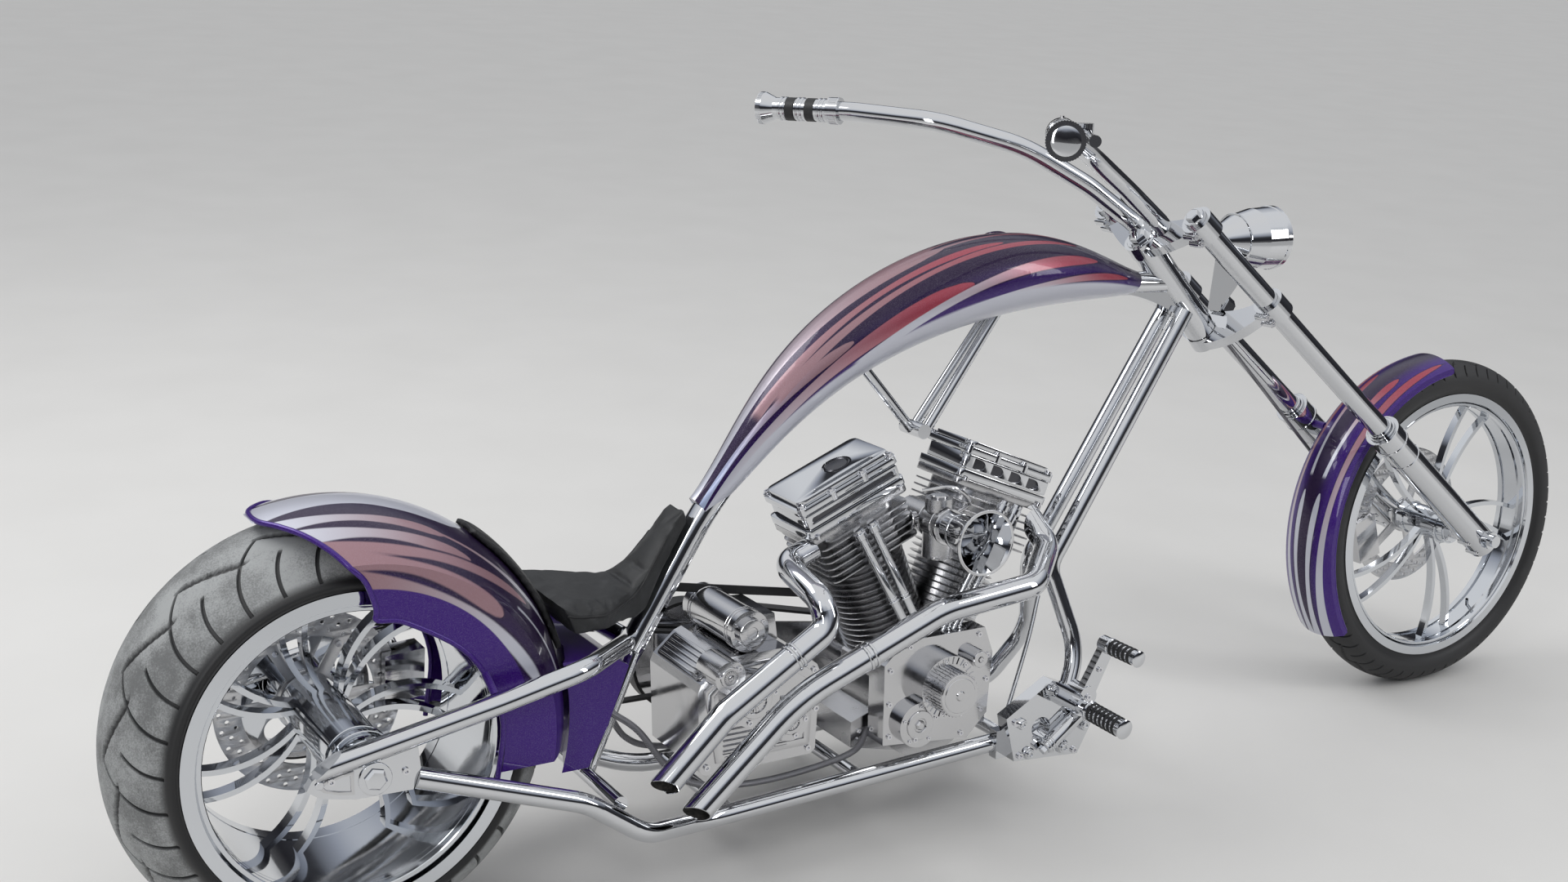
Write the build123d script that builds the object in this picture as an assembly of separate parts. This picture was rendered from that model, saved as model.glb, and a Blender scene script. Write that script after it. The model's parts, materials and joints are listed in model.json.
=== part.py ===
from build123d import *
import os
from math import acos, atan2, cos, hypot, pi, radians, sin, sqrt

# A long, low custom motorcycle with a raked fork, a wide rear tyre and an open V-twin engine.
# It is modelled upright: X forward, Y to the rider's left, Z up, millimetres, with the rear axle
# above the origin. The last step leans it onto its side stand, as it parks.

# Stance
LEAN = 6.0                  # degrees to the left, on the side stand
WHEELBASE = 2345.0
RAKE = 42.0                 # steering axis from the vertical
FORK_RAKE = 50.0            # fork legs from the vertical, with raked yokes
FIT = 0.3                   # gap between pieces that seat on each other
SADDLE = 0.6                # the same round a tube

# Rear wheel and tyre
REAR_Z = 333.0              # height of the axle in the upright frame
REAR_TYRE_R = 330.0
REAR_TYRE_HALF = 134.0
REAR_CROWN_R = 140.0        # radius of the tread across the tyre
REAR_SHOULDER_Y = 117.0     # where the tread meets the sidewall
REAR_WALL = 14.0
REAR_FLANGE_R = 246.0
REAR_RIM_HALF = 128.0
REAR_BEAD_R = 228.0
REAR_HUB_R = 46.0

# Front wheel and tyre
FRONT_TYRE_R = 346.0
FRONT_TYRE_HALF = 50.0
FRONT_CROWN_R = 52.0
FRONT_SHOULDER_Y = 44.0
FRONT_WALL = 9.0
FRONT_FLANGE_R = 281.0
FRONT_RIM_HALF = 38.0
FRONT_BEAD_R = 266.0
FRONT_HUB_R = 32.0

# Frame tubes
BACKBONE_D = 44.0
RAIL_D = 32.0
POST_D = 25.0
STRUT_D = 18.0
NECK_D = 58.0
NECK_LENGTH = 212.0
NECK_MID = (WHEELBASE - 747.4, 887.4)
RAIL_Y = 206.0              # rear rails, each side of the wheel
LOWER_Y = 118.0             # lower rails beside the engine
PLATE_THICK = 16.0

# Fork
FORK_Y = 120.0
FORK_TUBE_D = 41.0
SLIDER_D = 60.0
SLIDER_LENGTH = 400.0
FORK_ABOVE_YOKE = 26.0

# Engine
CRANK = (1027.0, 215.0)
VEE_HALF = 22.5
CASE_R = 106.0
CASE_HALF = 70.0
BARREL_START = 112.0
BARREL_END = 292.0
BARREL_R = 62.0
FIN_R = 78.0
HEAD_END = 384.0
ROCKER_END = 450.0
ROCKER_LENGTH = 204.0
ROCKER_HALF = 65.0
PIPE_D = 44.0
PIPE_WALL = 2.0

# Fenders
FENDER_WALL = 3.5
REAR_FENDER_GAP = 22.0      # over the tyre
REAR_SIDE_GAP = 27.0        # beside it
REAR_FENDER_R = REAR_TYRE_R + REAR_FENDER_GAP
REAR_FENDER_HALF = REAR_TYRE_HALF + REAR_SIDE_GAP
REAR_SKIRT = 140.0          # depth of the rear fender's sides, from its crest
FRONT_FENDER_GAP = 20.0
FRONT_FENDER_R = FRONT_TYRE_R + FRONT_FENDER_GAP
FRONT_FENDER_HALF = FRONT_TYRE_HALF + 12.0
FRONT_SKIRT = 31.0

# Axles
AXLE_R = 12.5
AXLE_RUN = 0.05             # running gap of a hub on its axle
NUT = 14.0
AXLE_END = 10.0             # of each axle, out of its nut


def contact_height(tyre_r, crown_r):
    """Height of a leaning wheel's centre above the ground."""
    return (tyre_r - crown_r) * cos(radians(LEAN)) + crown_r


REAR_HEIGHT = contact_height(REAR_TYRE_R, REAR_CROWN_R)
FRONT_HEIGHT = contact_height(FRONT_TYRE_R, FRONT_CROWN_R)
FRONT_Z = REAR_Z + (FRONT_HEIGHT - REAR_HEIGHT) / cos(radians(LEAN))

GRIP_Z = 1204.0             # height of the bar's ends
MIDDLE_X = (WHEELBASE + FRONT_TYRE_R - REAR_TYRE_R) / 2
MIDDLE_Y = (GRIP_Z - REAR_Z) * sin(radians(LEAN))

STEER_DIR = (-sin(radians(RAKE)), cos(radians(RAKE)))
FORK_DIR = (-sin(radians(FORK_RAKE)), cos(radians(FORK_RAKE)))


def along(point, direction, distance):
    """A point in the side view, moved along a direction."""
    return (point[0] + direction[0] * distance, point[1] + direction[1] * distance)


def lean(shape):
    """Lean an upright piece to the left about the rear axle and set it on the ground.

    The origin then moves to the ground below the middle of the machine's length and width.
    """
    return Pos(-MIDDLE_X, -MIDDLE_Y, REAR_HEIGHT) * Rot(-LEAN, 0, 0) * Pos(0, 0, -REAR_Z) * shape


def tube(points, diameter, bend):
    """A round tube or bar through the points, with one bend radius or a list of them."""
    path = FilletPolyline(*points, radius=bend) if len(points) > 2 else Polyline(*points)
    start = Plane(origin=path @ 0, z_dir=path % 0)
    return sweep(start * Circle(diameter / 2), path=path)


def rod(a, b, diameter):
    """A straight round bar from one point to another."""
    run = Vector(*b) - Vector(*a)
    return Plane(origin=a, z_dir=run) * Cylinder(
        diameter / 2, run.length, align=(Align.CENTER, Align.CENTER, Align.MIN)
    )


def disc(x, z, y_low, y_high, radius, bore=0.0):
    """A round plate across the machine, with an optional bore."""
    solid = rod((x, y_low, z), (x, y_high, z), 2 * radius)
    if bore:
        solid -= rod((x, y_low - 1, z), (x, y_high + 1, z), 2 * bore)
    return solid


def plate(points, y_low, y_high):
    """A flat plate from its side view outline."""
    face = make_face(Polyline(*[(x, y_low, z) for x, z in points], close=True))
    return extrude(face, amount=y_high - y_low, dir=(0, 1, 0))


def wheel_turn(edges, x, z, start=0.0, arc=360.0):
    """Revolve a section, drawn as radius and width, about a wheel's axle."""
    face = make_face(edges)
    turned = Plane(origin=(x, 0, z), x_dir=(cos(radians(start)), 0, sin(radians(start))),
                   z_dir=Vector(cos(radians(start)), 0, sin(radians(start))).cross(Vector(0, 1, 0)))
    return revolve(turned * face, Axis((x, 0, z), (0, -1, 0)), arc)


def section(*corners):
    """A closed outline of straight lines, given as radius and width."""
    return Polyline(*corners, close=True)


# Wheels

TREAD_RINGS = (1.0, 0.6)            # share of the shoulder's width
TYRE_SIDES = 72


def faceted_ring(corners, x, z):
    """A ring of flat facets about a wheel's axle, from a section of radius and width.

    Its corners lie on the drawn circles, so a bore passes its radius as the middle of a facet.
    """
    turns = [2 * pi * i / TYRE_SIDES for i in range(TYRE_SIDES)]
    rings = [[(x + r * cos(a), y, z + r * sin(a)) for r, y in corners] for a in turns]
    faces = []
    for i, ring in enumerate(rings):
        after = rings[(i + 1) % TYRE_SIDES]
        for j in range(len(corners)):
            k = (j + 1) % len(corners)
            faces.append(Face(Wire.make_polygon([ring[j], ring[k], after[k], after[j]], close=True)))
    return Solid(Shell(faces))


def tyre(tyre_r, half, crown_r, shoulder_y, wall, flange_r, bead_r, rim_half, x, z):
    """A hollow tyre: crown, sidewalls and the beads that sit inside the rim's flanges."""
    def crown(y, depth):
        return (tyre_r - crown_r + sqrt((crown_r - depth) ** 2 - y ** 2), y)
    step_r = flange_r + FIT + 1
    widen = 1 / cos(pi / TYRE_SIDES)            # keeps the facets of the bore outside its radius
    wide_r = (crown(shoulder_y, 0)[0] + step_r) / 2
    bead_y = rim_half - RIM_LIP - FIT
    touch_y = crown_r * sin(radians(LEAN))      # the ring that meets the ground
    ring_y = [shoulder_y * share for share in TREAD_RINGS] + [touch_y]
    tread = [crown(-y, 0) for y in ring_y] + [crown(y, 0) for y in reversed(ring_y)]
    lining = [crown((shoulder_y - wall) * share, 1.4 * wall) for share in (1, 0, -1)]
    side = [(wide_r, half), (step_r * widen, rim_half - 1), (step_r * widen, bead_y), (bead_r * widen, bead_y),
            (bead_r * widen, bead_y - wall), (wide_r, half - wall)]
    other = [(r, -y) for r, y in reversed(side)]
    return faceted_ring(tread + side + lining + other, x, z)


RIM_LIP = 6.0


def rim(flange_r, half, bead_r, well, x, z):
    """A deep polished barrel with rolled flanges."""
    inner = bead_r - well
    lip = RIM_LIP
    edges = section(
        (flange_r, -half), (flange_r, -half + lip), (bead_r - FIT, -half + lip),
        (bead_r - FIT, half - lip), (flange_r, half - lip), (flange_r, half),
        (bead_r - 2, half), (inner, half - 22), (inner, -half + 22), (bead_r - 2, -half),
    )
    return wheel_turn(edges, x, z)


def curved_spoke(hub_r, rim_r, bow, width, thick):
    """One blade from the hub to the rim, bowed to one side."""
    mid = (hub_r + rim_r) / 2
    half = width / 2
    edges = ThreePointArc((hub_r, -half), (mid, bow - half), (rim_r, -half))
    edges += Line((rim_r, -half), (rim_r, half))
    edges += ThreePointArc((rim_r, half), (mid, bow + half), (hub_r, half))
    edges += Line((hub_r, half), (hub_r, -half))
    blade = extrude(make_face(edges), amount=thick / 2, both=True)
    return Rot(90, 0, 0) * blade


def spoked_rim(flange_r, half, bead_r, well, hub_r, hub_low, hub_high, spokes, x, z):
    """Rim, hub barrel and blades fused into one wheel."""
    barrel = rim(flange_r, half, bead_r, well, 0, 0)
    hub = disc(0, 0, hub_low, hub_high, hub_r)
    wheel = barrel + hub
    for count, offset, bow, width, thick, y_mid in spokes:
        for i in range(count):
            blade = Pos(0, y_mid, 0) * curved_spoke(hub_r - 4, bead_r - well + 3, bow, width, thick)
            wheel += Rot(0, i * 360.0 / count + offset, 0) * blade
    wheel -= disc(0, 0, hub_low - 1, hub_high + 1, AXLE_R + AXLE_RUN)
    return Pos(x, 0, z) * wheel


REAR_PULLEY_R = 108.0
BELT_LOW = 165.0
BELT_HIGH = 183.0
REAR_DISC_R = 146.0
REAR_DISC_LOW = 118.0
REAR_DISC_HIGH = 124.0
REAR_HUB_LEFT = 116.0
REAR_HUB_RIGHT = -170.0

# count, first angle, bow, width, thickness, place across the wheel
REAR_SPOKES = [(7, 0.0, 26.0, 9.0, 26.0, 50.0), (7, 14.0, 26.0, 9.0, 26.0, 50.0)]
FRONT_SPOKES = [(5, 0.0, 22.0, 9.0, 16.0, 0.0), (5, 16.0, 22.0, 9.0, 16.0, 0.0)]


def rear_rim():
    return spoked_rim(REAR_FLANGE_R, REAR_RIM_HALF, REAR_BEAD_R, 13.0, REAR_HUB_R,
                      REAR_HUB_RIGHT, REAR_HUB_LEFT, REAR_SPOKES, 0, REAR_Z)


def rear_pulley():
    """Toothed pulley and the hub that carries it."""
    pulley = disc(0, REAR_Z, BELT_LOW, BELT_HIGH, REAR_PULLEY_R)
    pulley += disc(0, REAR_Z, REAR_DISC_HIGH, BELT_LOW, 52.0)
    for i in range(5):
        a = radians(72 * i + 20)
        pulley -= disc(70 * cos(a), REAR_Z + 70 * sin(a), BELT_LOW - 5, BELT_HIGH + 5, 21.0)
    return pulley - disc(0, REAR_Z, 0, BELT_HIGH + 9, AXLE_R + AXLE_RUN)


def rear_disc():
    """Brake disc on the drive side, with drilled holes."""
    body = disc(0, REAR_Z, REAR_DISC_LOW, REAR_DISC_HIGH, REAR_DISC_R)
    body -= disc(0, REAR_Z, REAR_DISC_LOW - 1, REAR_DISC_HIGH + 1, 104.0)
    for i in range(6):
        a = radians(60 * i)
        arm = Pos(0, 0, REAR_Z) * Rot(0, 60 * i, 0) * Pos(76, (REAR_DISC_LOW + REAR_DISC_HIGH) / 2, 0)
        body += arm * Box(62, REAR_DISC_HIGH - REAR_DISC_LOW, 16)
    body += disc(0, REAR_Z, REAR_DISC_LOW, REAR_DISC_HIGH, 50.0)
    return body - disc(0, REAR_Z, 0, BELT_HIGH + 9, AXLE_R + AXLE_RUN)


FRONT_HUB_HALF = 62.0
FRONT_DISC_LOW = 63.0
FRONT_DISC_HIGH = 68.0
FRONT_DISC_R = 146.0


def front_rim():
    return spoked_rim(FRONT_FLANGE_R, FRONT_RIM_HALF, FRONT_BEAD_R, 11.0, FRONT_HUB_R,
                      -FRONT_HUB_HALF, FRONT_HUB_HALF, FRONT_SPOKES, WHEELBASE, FRONT_Z)


def front_disc():
    body = disc(WHEELBASE, FRONT_Z, FRONT_DISC_LOW, FRONT_DISC_HIGH, FRONT_DISC_R)
    body -= disc(WHEELBASE, FRONT_Z, FRONT_DISC_LOW - 1, FRONT_DISC_HIGH + 1, 108.0)
    for i in range(5):
        arm = Pos(WHEELBASE, 0, FRONT_Z) * Rot(0, 72 * i, 0)
        arm = arm * Pos(72, (FRONT_DISC_LOW + FRONT_DISC_HIGH) / 2, 0)
        body += arm * Box(80, FRONT_DISC_HIGH - FRONT_DISC_LOW, 14)
    body += disc(WHEELBASE, FRONT_Z, FRONT_DISC_LOW, FRONT_DISC_HIGH, 38.0)
    return body - disc(WHEELBASE, FRONT_Z, 0, 100, AXLE_R + AXLE_RUN)


PLATE_SKIN = 4.0            # left over the axle's blind end in the right plate


def rear_axle():
    """Axle with a nut on the left and its spacers; its right end is blind in the plate."""
    out = RAIL_Y + PLATE_THICK / 2
    body = disc(0, REAR_Z, -(out - PLATE_SKIN - FIT), out + NUT + AXLE_END, AXLE_R)
    body += disc(0, REAR_Z, out + FIT, out + NUT, 21.0)
    inner = RAIL_Y - PLATE_THICK / 2 - FIT
    body += disc(0, REAR_Z, -inner, REAR_HUB_RIGHT - 1.0, 20.0)
    body += disc(0, REAR_Z, BELT_HIGH + 1.0, inner, 20.0)
    return body


# Frame

def neck_point(distance):
    """A point on the steering axis, measured upwards from the middle of the neck."""
    x, z = along(NECK_MID, STEER_DIR, distance)
    return (x, 0, z)


STRETCH_FROM = 1110.0       # the frame ahead of this place stretches with the wheelbase
NECK_MEET = 20.0            # of the backbone's end, above the middle of the neck
NECK_DRAWN = 1585.0         # its place at the drawn wheelbase


def ahead(x):
    """A place on the top tube, stretched between the engine and the neck."""
    neck_x = neck_point(NECK_MEET)[0]
    return x if x < STRETCH_FROM else STRETCH_FROM + (x - STRETCH_FROM) * (neck_x - STRETCH_FROM) / (
        NECK_DRAWN - STRETCH_FROM)


BACKBONE_PATH = [
    (488, 0, 372), (632, 0, 606), (742, 0, 716), (905, 0, 822), (1110, 0, 880), (ahead(1330), 0, 914),
    neck_point(NECK_MEET),
]
BACKBONE_BENDS = [600, 900, 800, 900, 700]
GUSSET_HALF = 17.0


def gusset(extra=0.0):
    """Curved web that flares the backbone into the foot of the neck."""
    x, z = NECK_MID
    half = GUSSET_HALF + extra
    foot = neck_point(-NECK_LENGTH / 2 + 22)
    edges = Line((x - 120, half, z + 18), (x - 14, half, z + 16))
    edges += Line((x - 14, half, z + 16), (foot[0], half, foot[2]))
    edges += Line((foot[0], half, foot[2]), (foot[0] - 16, half, foot[2] - 12 - extra))
    edges += ThreePointArc((foot[0] - 16, half, foot[2] - 12 - extra), (x - 22, half, z - 34 - extra),
                           (x - 120, half, z + 2 - extra))
    edges += Line((x - 120, half, z + 2 - extra), (x - 120, half, z + 18))
    return extrude(make_face(edges), amount=2 * half, dir=(0, -1, 0))


def backbone(extra=0.0):
    """Neck, top tube and seat tube."""
    top = tube(BACKBONE_PATH, BACKBONE_D + 2 * extra, BACKBONE_BENDS)
    neck = rod(neck_point(-NECK_LENGTH / 2), neck_point(NECK_LENGTH / 2), NECK_D + 2 * extra)
    return top + neck + gusset(extra)


STEM_R = 14.0
STEM_RUN = 0.08             # running gap of the stem in its bearing cups
CUP_R = 22.0
CUP_LENGTH = 18.0


def frame_backbone():
    return backbone() - rod(neck_point(-NECK_LENGTH), neck_point(NECK_LENGTH), 2 * CUP_R)


def head_bearings():
    """The two bearing cups in the neck's ends, in which the steering stem turns."""
    solids = []
    for end in (-1, 1):
        outer = neck_point(end * NECK_LENGTH / 2)
        inner = neck_point(end * (NECK_LENGTH / 2 - CUP_LENGTH))
        bore = rod(neck_point(-NECK_LENGTH), neck_point(NECK_LENGTH), 2 * (STEM_R + STEM_RUN))
        solids.append(rod(inner, outer, 2 * (CUP_R - FIT)) - bore)
    return Compound(children=solids)


DOWN_BENDS = [50, 110, 60]
LOWER_BENDS = [160, 110, 150]
JOINT_X = 1200.0            # where the lower rails meet the down tubes
UPPER_BENDS = [300, 90, 60]


def down_path(side):
    return [
        (NECK_MID[0] + 6, side * 26, 852), (1313, side * 30, 404), (1352, side * 74, 250),
        (1292, side * 110, 150), (JOINT_X - 10, side * LOWER_Y, 130),
    ]


def down_tubes():
    """Two down tubes, from the neck to the lower rails."""
    cut = backbone(SADDLE) + Pos(JOINT_X + FIT - 100, 0, 130) * Box(200, 400, 200)
    solids = []
    for side in (-1, 1):
        pieces = tube(down_path(side), RAIL_D, DOWN_BENDS) - cut
        solids.append(max(pieces.solids(), key=lambda s: s.volume))
    return Compound(children=solids)


def lower_path(side):
    return [
        (JOINT_X + 10, side * LOWER_Y, 132.3), (560, side * 124, 110), (425, side * 196, 146),
        (322, side * RAIL_Y, 224), (60, side * RAIL_Y, 320),
    ]


def lower_rails():
    """Two lower rails with their cross tubes, which carry the engine and gearbox."""
    rails = tube(lower_path(-1), RAIL_D, LOWER_BENDS) + tube(lower_path(1), RAIL_D, LOWER_BENDS)
    rails -= Pos(JOINT_X + 100, 0, 130) * Box(200, 400, 200)
    for x, z in ((1170, 131), (860, 121), (610, 114)):
        rails += rod((x, -LOWER_Y, z), (x, LOWER_Y, z), 24)
    rails += rod((396, -165, 190), (396, 165, 190), 24)
    rails += stand_lug()
    return rails


def upper_path(side):
    return [
        (-84, side * RAIL_Y, REAR_Z + 23), (190, side * RAIL_Y, REAR_Z + 74), (330, side * 192, 430),
        (440, side * 88, 418), (478, side * 8, 396),
    ]


def upper_rails():
    """Two upper rails from the axle plates to the foot of the seat tube."""
    cut = backbone(SADDLE)
    solids = []
    for side in (-1, 1):
        rail = tube(upper_path(side), RAIL_D, UPPER_BENDS) - cut
        keep = Pos(200, side * 400, 400) * Box(2000, 800 - 2, 800)
        point = plate([(-120, REAR_Z + 8), (-96, REAR_Z + 8), (-26, REAR_Z + 60), (-120, REAR_Z + 60)], -400, 400)
        solids.append((rail & keep) - point)
    return Compound(children=solids)


def seat_posts():
    """Two posts from the seat tube's foot down to the rear cross tube."""
    cut = backbone(SADDLE)
    rails = [tube(upper_path(side), RAIL_D + 2 * FIT, UPPER_BENDS) for side in (-1, 1)]
    bar = rod((396, -165, 190), (396, 165, 190), 24 + 2 * FIT)
    solids = []
    for side in (-1, 1):
        post = rod((486, side * 22, 376), (396, side * 34, 190), POST_D)
        post = post - cut - bar - rails[0] - rails[1]
        solids.append(max(post.solids(), key=lambda s: s.volume))
    return Compound(children=solids)


# side view of the left plate, from the axle
PLATE_OUTLINE = [(-96, 0), (-88, 14), (-72, 24), (-34, 40), (62, 46), (66, 4), (54, -27), (-28, -25), (-78, -14)]


def axle_plate(side):
    """Shaped plate that joins both rails and carries the axle; only the left one is drilled through."""
    low, high = sorted((side * (RAIL_Y - PLATE_THICK / 2), side * (RAIL_Y + PLATE_THICK / 2)))
    body = plate([(x, REAR_Z + z) for x, z in PLATE_OUTLINE], low, high)
    body -= tube(upper_path(side), RAIL_D + 2 * FIT, UPPER_BENDS)
    body -= tube(lower_path(side), RAIL_D + 2 * FIT, LOWER_BENDS)
    bore_low, bore_high = (low - 1, high + 1) if side > 0 else (low + PLATE_SKIN, high + 1)
    body -= disc(0, REAR_Z, bore_low, bore_high, AXLE_R + AXLE_RUN)
    return max(body.solids(), key=lambda s: s.volume)


MOUNT_PIVOT = (1030, 684)
TANK_FIT = 1.1
TUNNEL_RUNS = 24


def strut_lines():
    """Ends of the top motor mount's struts: two to the front, one to the rear."""
    px, pz = MOUNT_PIVOT
    return [((ahead(1195), 11, 888), (px + 12, 18, pz)), ((ahead(1195), -11, 888), (px + 12, -18, pz)),
            ((905, 0, 820), (px - 8, 0, pz))]


def motor_struts():
    """Top motor mount: struts from the backbone to a clevis between the heads."""
    cut = backbone(SADDLE)
    px, pz = MOUNT_PIVOT
    body = rod((px, -30, pz), (px, 30, pz), 26)
    for a, b in strut_lines():
        body += rod(a, b, STRUT_D)
    body = body - cut
    return max(body.solids(), key=lambda s: s.volume)


# Tank, seat and fenders

# bottom x and z, top x and z, half width
TANK_SECTIONS = [
    ((628, 577), (600, 612), 21),
    ((735, 672), (684, 726), 40),
    ((858, 764), (790, 850), 62),
    ((1010, 832), (955, 955), 84),
    ((1190, 872), (1180, 1011), 92),
    ((1345, 884), (1362, 984), 74),
    ((1482, 888), (1500, 930), 30),
]


def backbone_tunnel():
    """Room for the backbone, as a chain of short straight runs."""
    path = FilletPolyline(*BACKBONE_PATH, radius=BACKBONE_BENDS)
    chain = Polyline(*[path @ (i / TUNNEL_RUNS) for i in range(TUNNEL_RUNS + 1)])
    start = Plane(origin=chain @ 0, z_dir=chain % 0)
    return sweep(start * Circle(BACKBONE_D / 2 + TANK_FIT), path=chain, transition=Transition.RIGHT)


def fuel_tank():
    """Long tank draped over the backbone, with a tunnel for the tube."""
    wires = []
    for (bx, bz), (tx, tz), half in TANK_SECTIONS:
        up = Vector(tx - bx, 0, tz - bz)
        centre = (ahead((bx + tx) / 2), 0, (bz + tz) / 2)
        plane = Plane(origin=centre, x_dir=(0, 1, 0), z_dir=Vector(0, 1, 0).cross(up))
        wires.append(plane * Ellipse(half, up.length / 2))
    body = loft(wires)
    body -= backbone_tunnel()
    for a, b in strut_lines():
        body -= rod(a, b, STRUT_D + 2 * TANK_FIT)
    solid = max(body.solids(), key=lambda s: s.volume)
    cap = rod((ahead(1215), 38, 985), (ahead(1219), 46, 1001), 44)
    return solid + (cap - solid)


def crown_outline(radius, half, skirt_r, drop, wall):
    """Half of a fender's section: an arched crown and straight sides."""
    edge_r = radius - drop
    inner_r, inner_edge, inner_half = radius - wall, edge_r - wall * 0.6, half - wall
    edges = ThreePointArc((edge_r, -half), (radius, 0), (edge_r, half))
    edges += Line((edge_r, half), (skirt_r, half)) + Line((skirt_r, half), (skirt_r, inner_half))
    edges += Line((skirt_r, inner_half), (inner_edge, inner_half))
    edges += ThreePointArc((inner_edge, inner_half), (inner_r, 0), (inner_edge, -inner_half))
    edges += Line((inner_edge, -inner_half), (skirt_r, -inner_half))
    edges += Line((skirt_r, -inner_half), (skirt_r, -half)) + Line((skirt_r, -half), (edge_r, -half))
    return edges


REAR_FENDER_DROP = 58.0
FENDER_TAB_X = 185.0        # tabs that hold the fender on the upper rails
# angle about the rear axle and the edge's depth below the crest there
REAR_FENDER_EDGE = [(83, 250), (83, 118), (87, 84), (91, 62), (95, 38), (99, 20), (103, 8), (106.5, 1.5)]
REAR_FENDER_TIP = 107.5


def polar(centre, angle, radius):
    return (centre[0] + radius * cos(radians(angle)), centre[1] + radius * sin(radians(angle)))


def rear_fender():
    edges = crown_outline(REAR_FENDER_R, REAR_FENDER_HALF, REAR_FENDER_R - REAR_SKIRT, REAR_FENDER_DROP, FENDER_WALL)
    body = wheel_turn(edges, 0, REAR_Z, -22, REAR_FENDER_TIP + 22)
    cut = [polar((0, REAR_Z), angle, REAR_FENDER_R - depth) for angle, depth in REAR_FENDER_EDGE]
    cut += [polar((0, REAR_Z), 112, REAR_FENDER_R), polar((0, REAR_Z), 118, 100)]
    body -= plate(cut, -400, 400)
    body -= Pos(200, 0, 140) * Box(600, 600, 280)
    for side in (-1, 1):
        tab = rod((FENDER_TAB_X, side * (RAIL_Y - 2), 414), (FENDER_TAB_X, side * (REAR_FENDER_HALF - 2), 437), 12)
        body += tab - tube(upper_path(side), RAIL_D + 2 * SADDLE, UPPER_BENDS)
    return max(body.solids(), key=lambda s: s.volume)


def front_fender():
    skirt_r = FRONT_FENDER_R - FRONT_SKIRT
    edges = crown_outline(FRONT_FENDER_R, FRONT_FENDER_HALF, skirt_r, 20.0, 3.0)
    body = wheel_turn(edges, WHEELBASE, FRONT_Z, 97, 116)
    for side in (-1, 1):
        x, z = polar((WHEELBASE, FRONT_Z), 90 + FORK_RAKE, skirt_r + 7)
        low, high = sorted((side * (FRONT_FENDER_HALF - 1), side * (FORK_Y - SLIDER_D / 2 - FIT)))
        tab = disc(x, z, low, high, 8.0)
        body += tab
    return body


SEAT_SIDE = [
    (284, 520), (300, 452), (432, 448), (476, 442), (500, 452), (584, 582), (578, 606), (562, 596),
    (500, 514), (472, 494), (404, 490), (330, 502),
]
SEAT_PLAN = [
    (270, -84), (270, 84), (330, 116), (400, 110), (462, 66), (530, 38), (612, 26),
    (612, -26), (530, -38), (462, -66), (400, -110), (330, -116),
]
PAD_THICK = 12.0
PAD_SEAT = 0.5              # of the tail pad over the fender


def seat():
    """Solo saddle with a nose that climbs the backbone."""
    side = plate(SEAT_SIDE, -130, 130)
    plan = extrude(make_face(Polyline(*[(x, y, 430) for x, y in SEAT_PLAN], close=True)), amount=230)
    body = side & plan
    body -= backbone(SADDLE)
    pad_top = REAR_FENDER_R + 2 * PAD_SEAT + PAD_THICK
    body -= wheel_turn(section((0, -200), (pad_top, -200), (pad_top, 200), (0, 200)), 0, REAR_Z)
    for s in (-1, 1):
        body -= tube(upper_path(s), RAIL_D + 3, UPPER_BENDS)
    return max(body.solids(), key=lambda s: s.volume)


PAD_START = 15.0            # degrees about the rear axle, behind the seat
PAD_END = 53.0
PAD_HALF = 88.0             # half width behind the seat, narrowing to the rear


def fender_arc(lift, half):
    """The rear fender's crown across the machine, lifted outwards: ends and middle."""
    chord, drop = REAR_FENDER_HALF, REAR_FENDER_DROP
    bend = (chord ** 2 + drop ** 2) / (2 * drop)
    centre = REAR_FENDER_R - bend
    edge_r = centre + sqrt((bend + lift) ** 2 - half ** 2)
    return (edge_r, -half), (REAR_FENDER_R + lift, 0), (edge_r, half)


def tail_pad():
    """Narrow pad that hugs the crest of the rear fender behind the seat."""
    low, high = fender_arc(PAD_SEAT, PAD_HALF), fender_arc(PAD_SEAT + PAD_THICK, PAD_HALF - 5)
    edges = ThreePointArc(*low) + Line(low[2], high[2]) + ThreePointArc(*reversed(high)) + Line(high[0], low[0])
    body = wheel_turn(edges, 0, REAR_Z, PAD_START, PAD_END - PAD_START)
    tip = polar((0, REAR_Z), PAD_END, REAR_FENDER_R)
    foot = polar((0, REAR_Z), PAD_START, REAR_FENDER_R)
    taper = Polyline((tip[0] - 4, -30), (tip[0] - 4, 30), (tip[0] + 12, 46), (foot[0] + 30, PAD_HALF + 4),
                     (foot[0] + 30, -PAD_HALF - 4), (tip[0] + 12, -46), close=True)
    return body & Pos(0, 0, REAR_Z) * extrude(make_face(taper), amount=500)


OIL_X = REAR_FENDER_R + 14.0        # front of the oil tank's foot
OIL_HALF = 112.0


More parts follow.
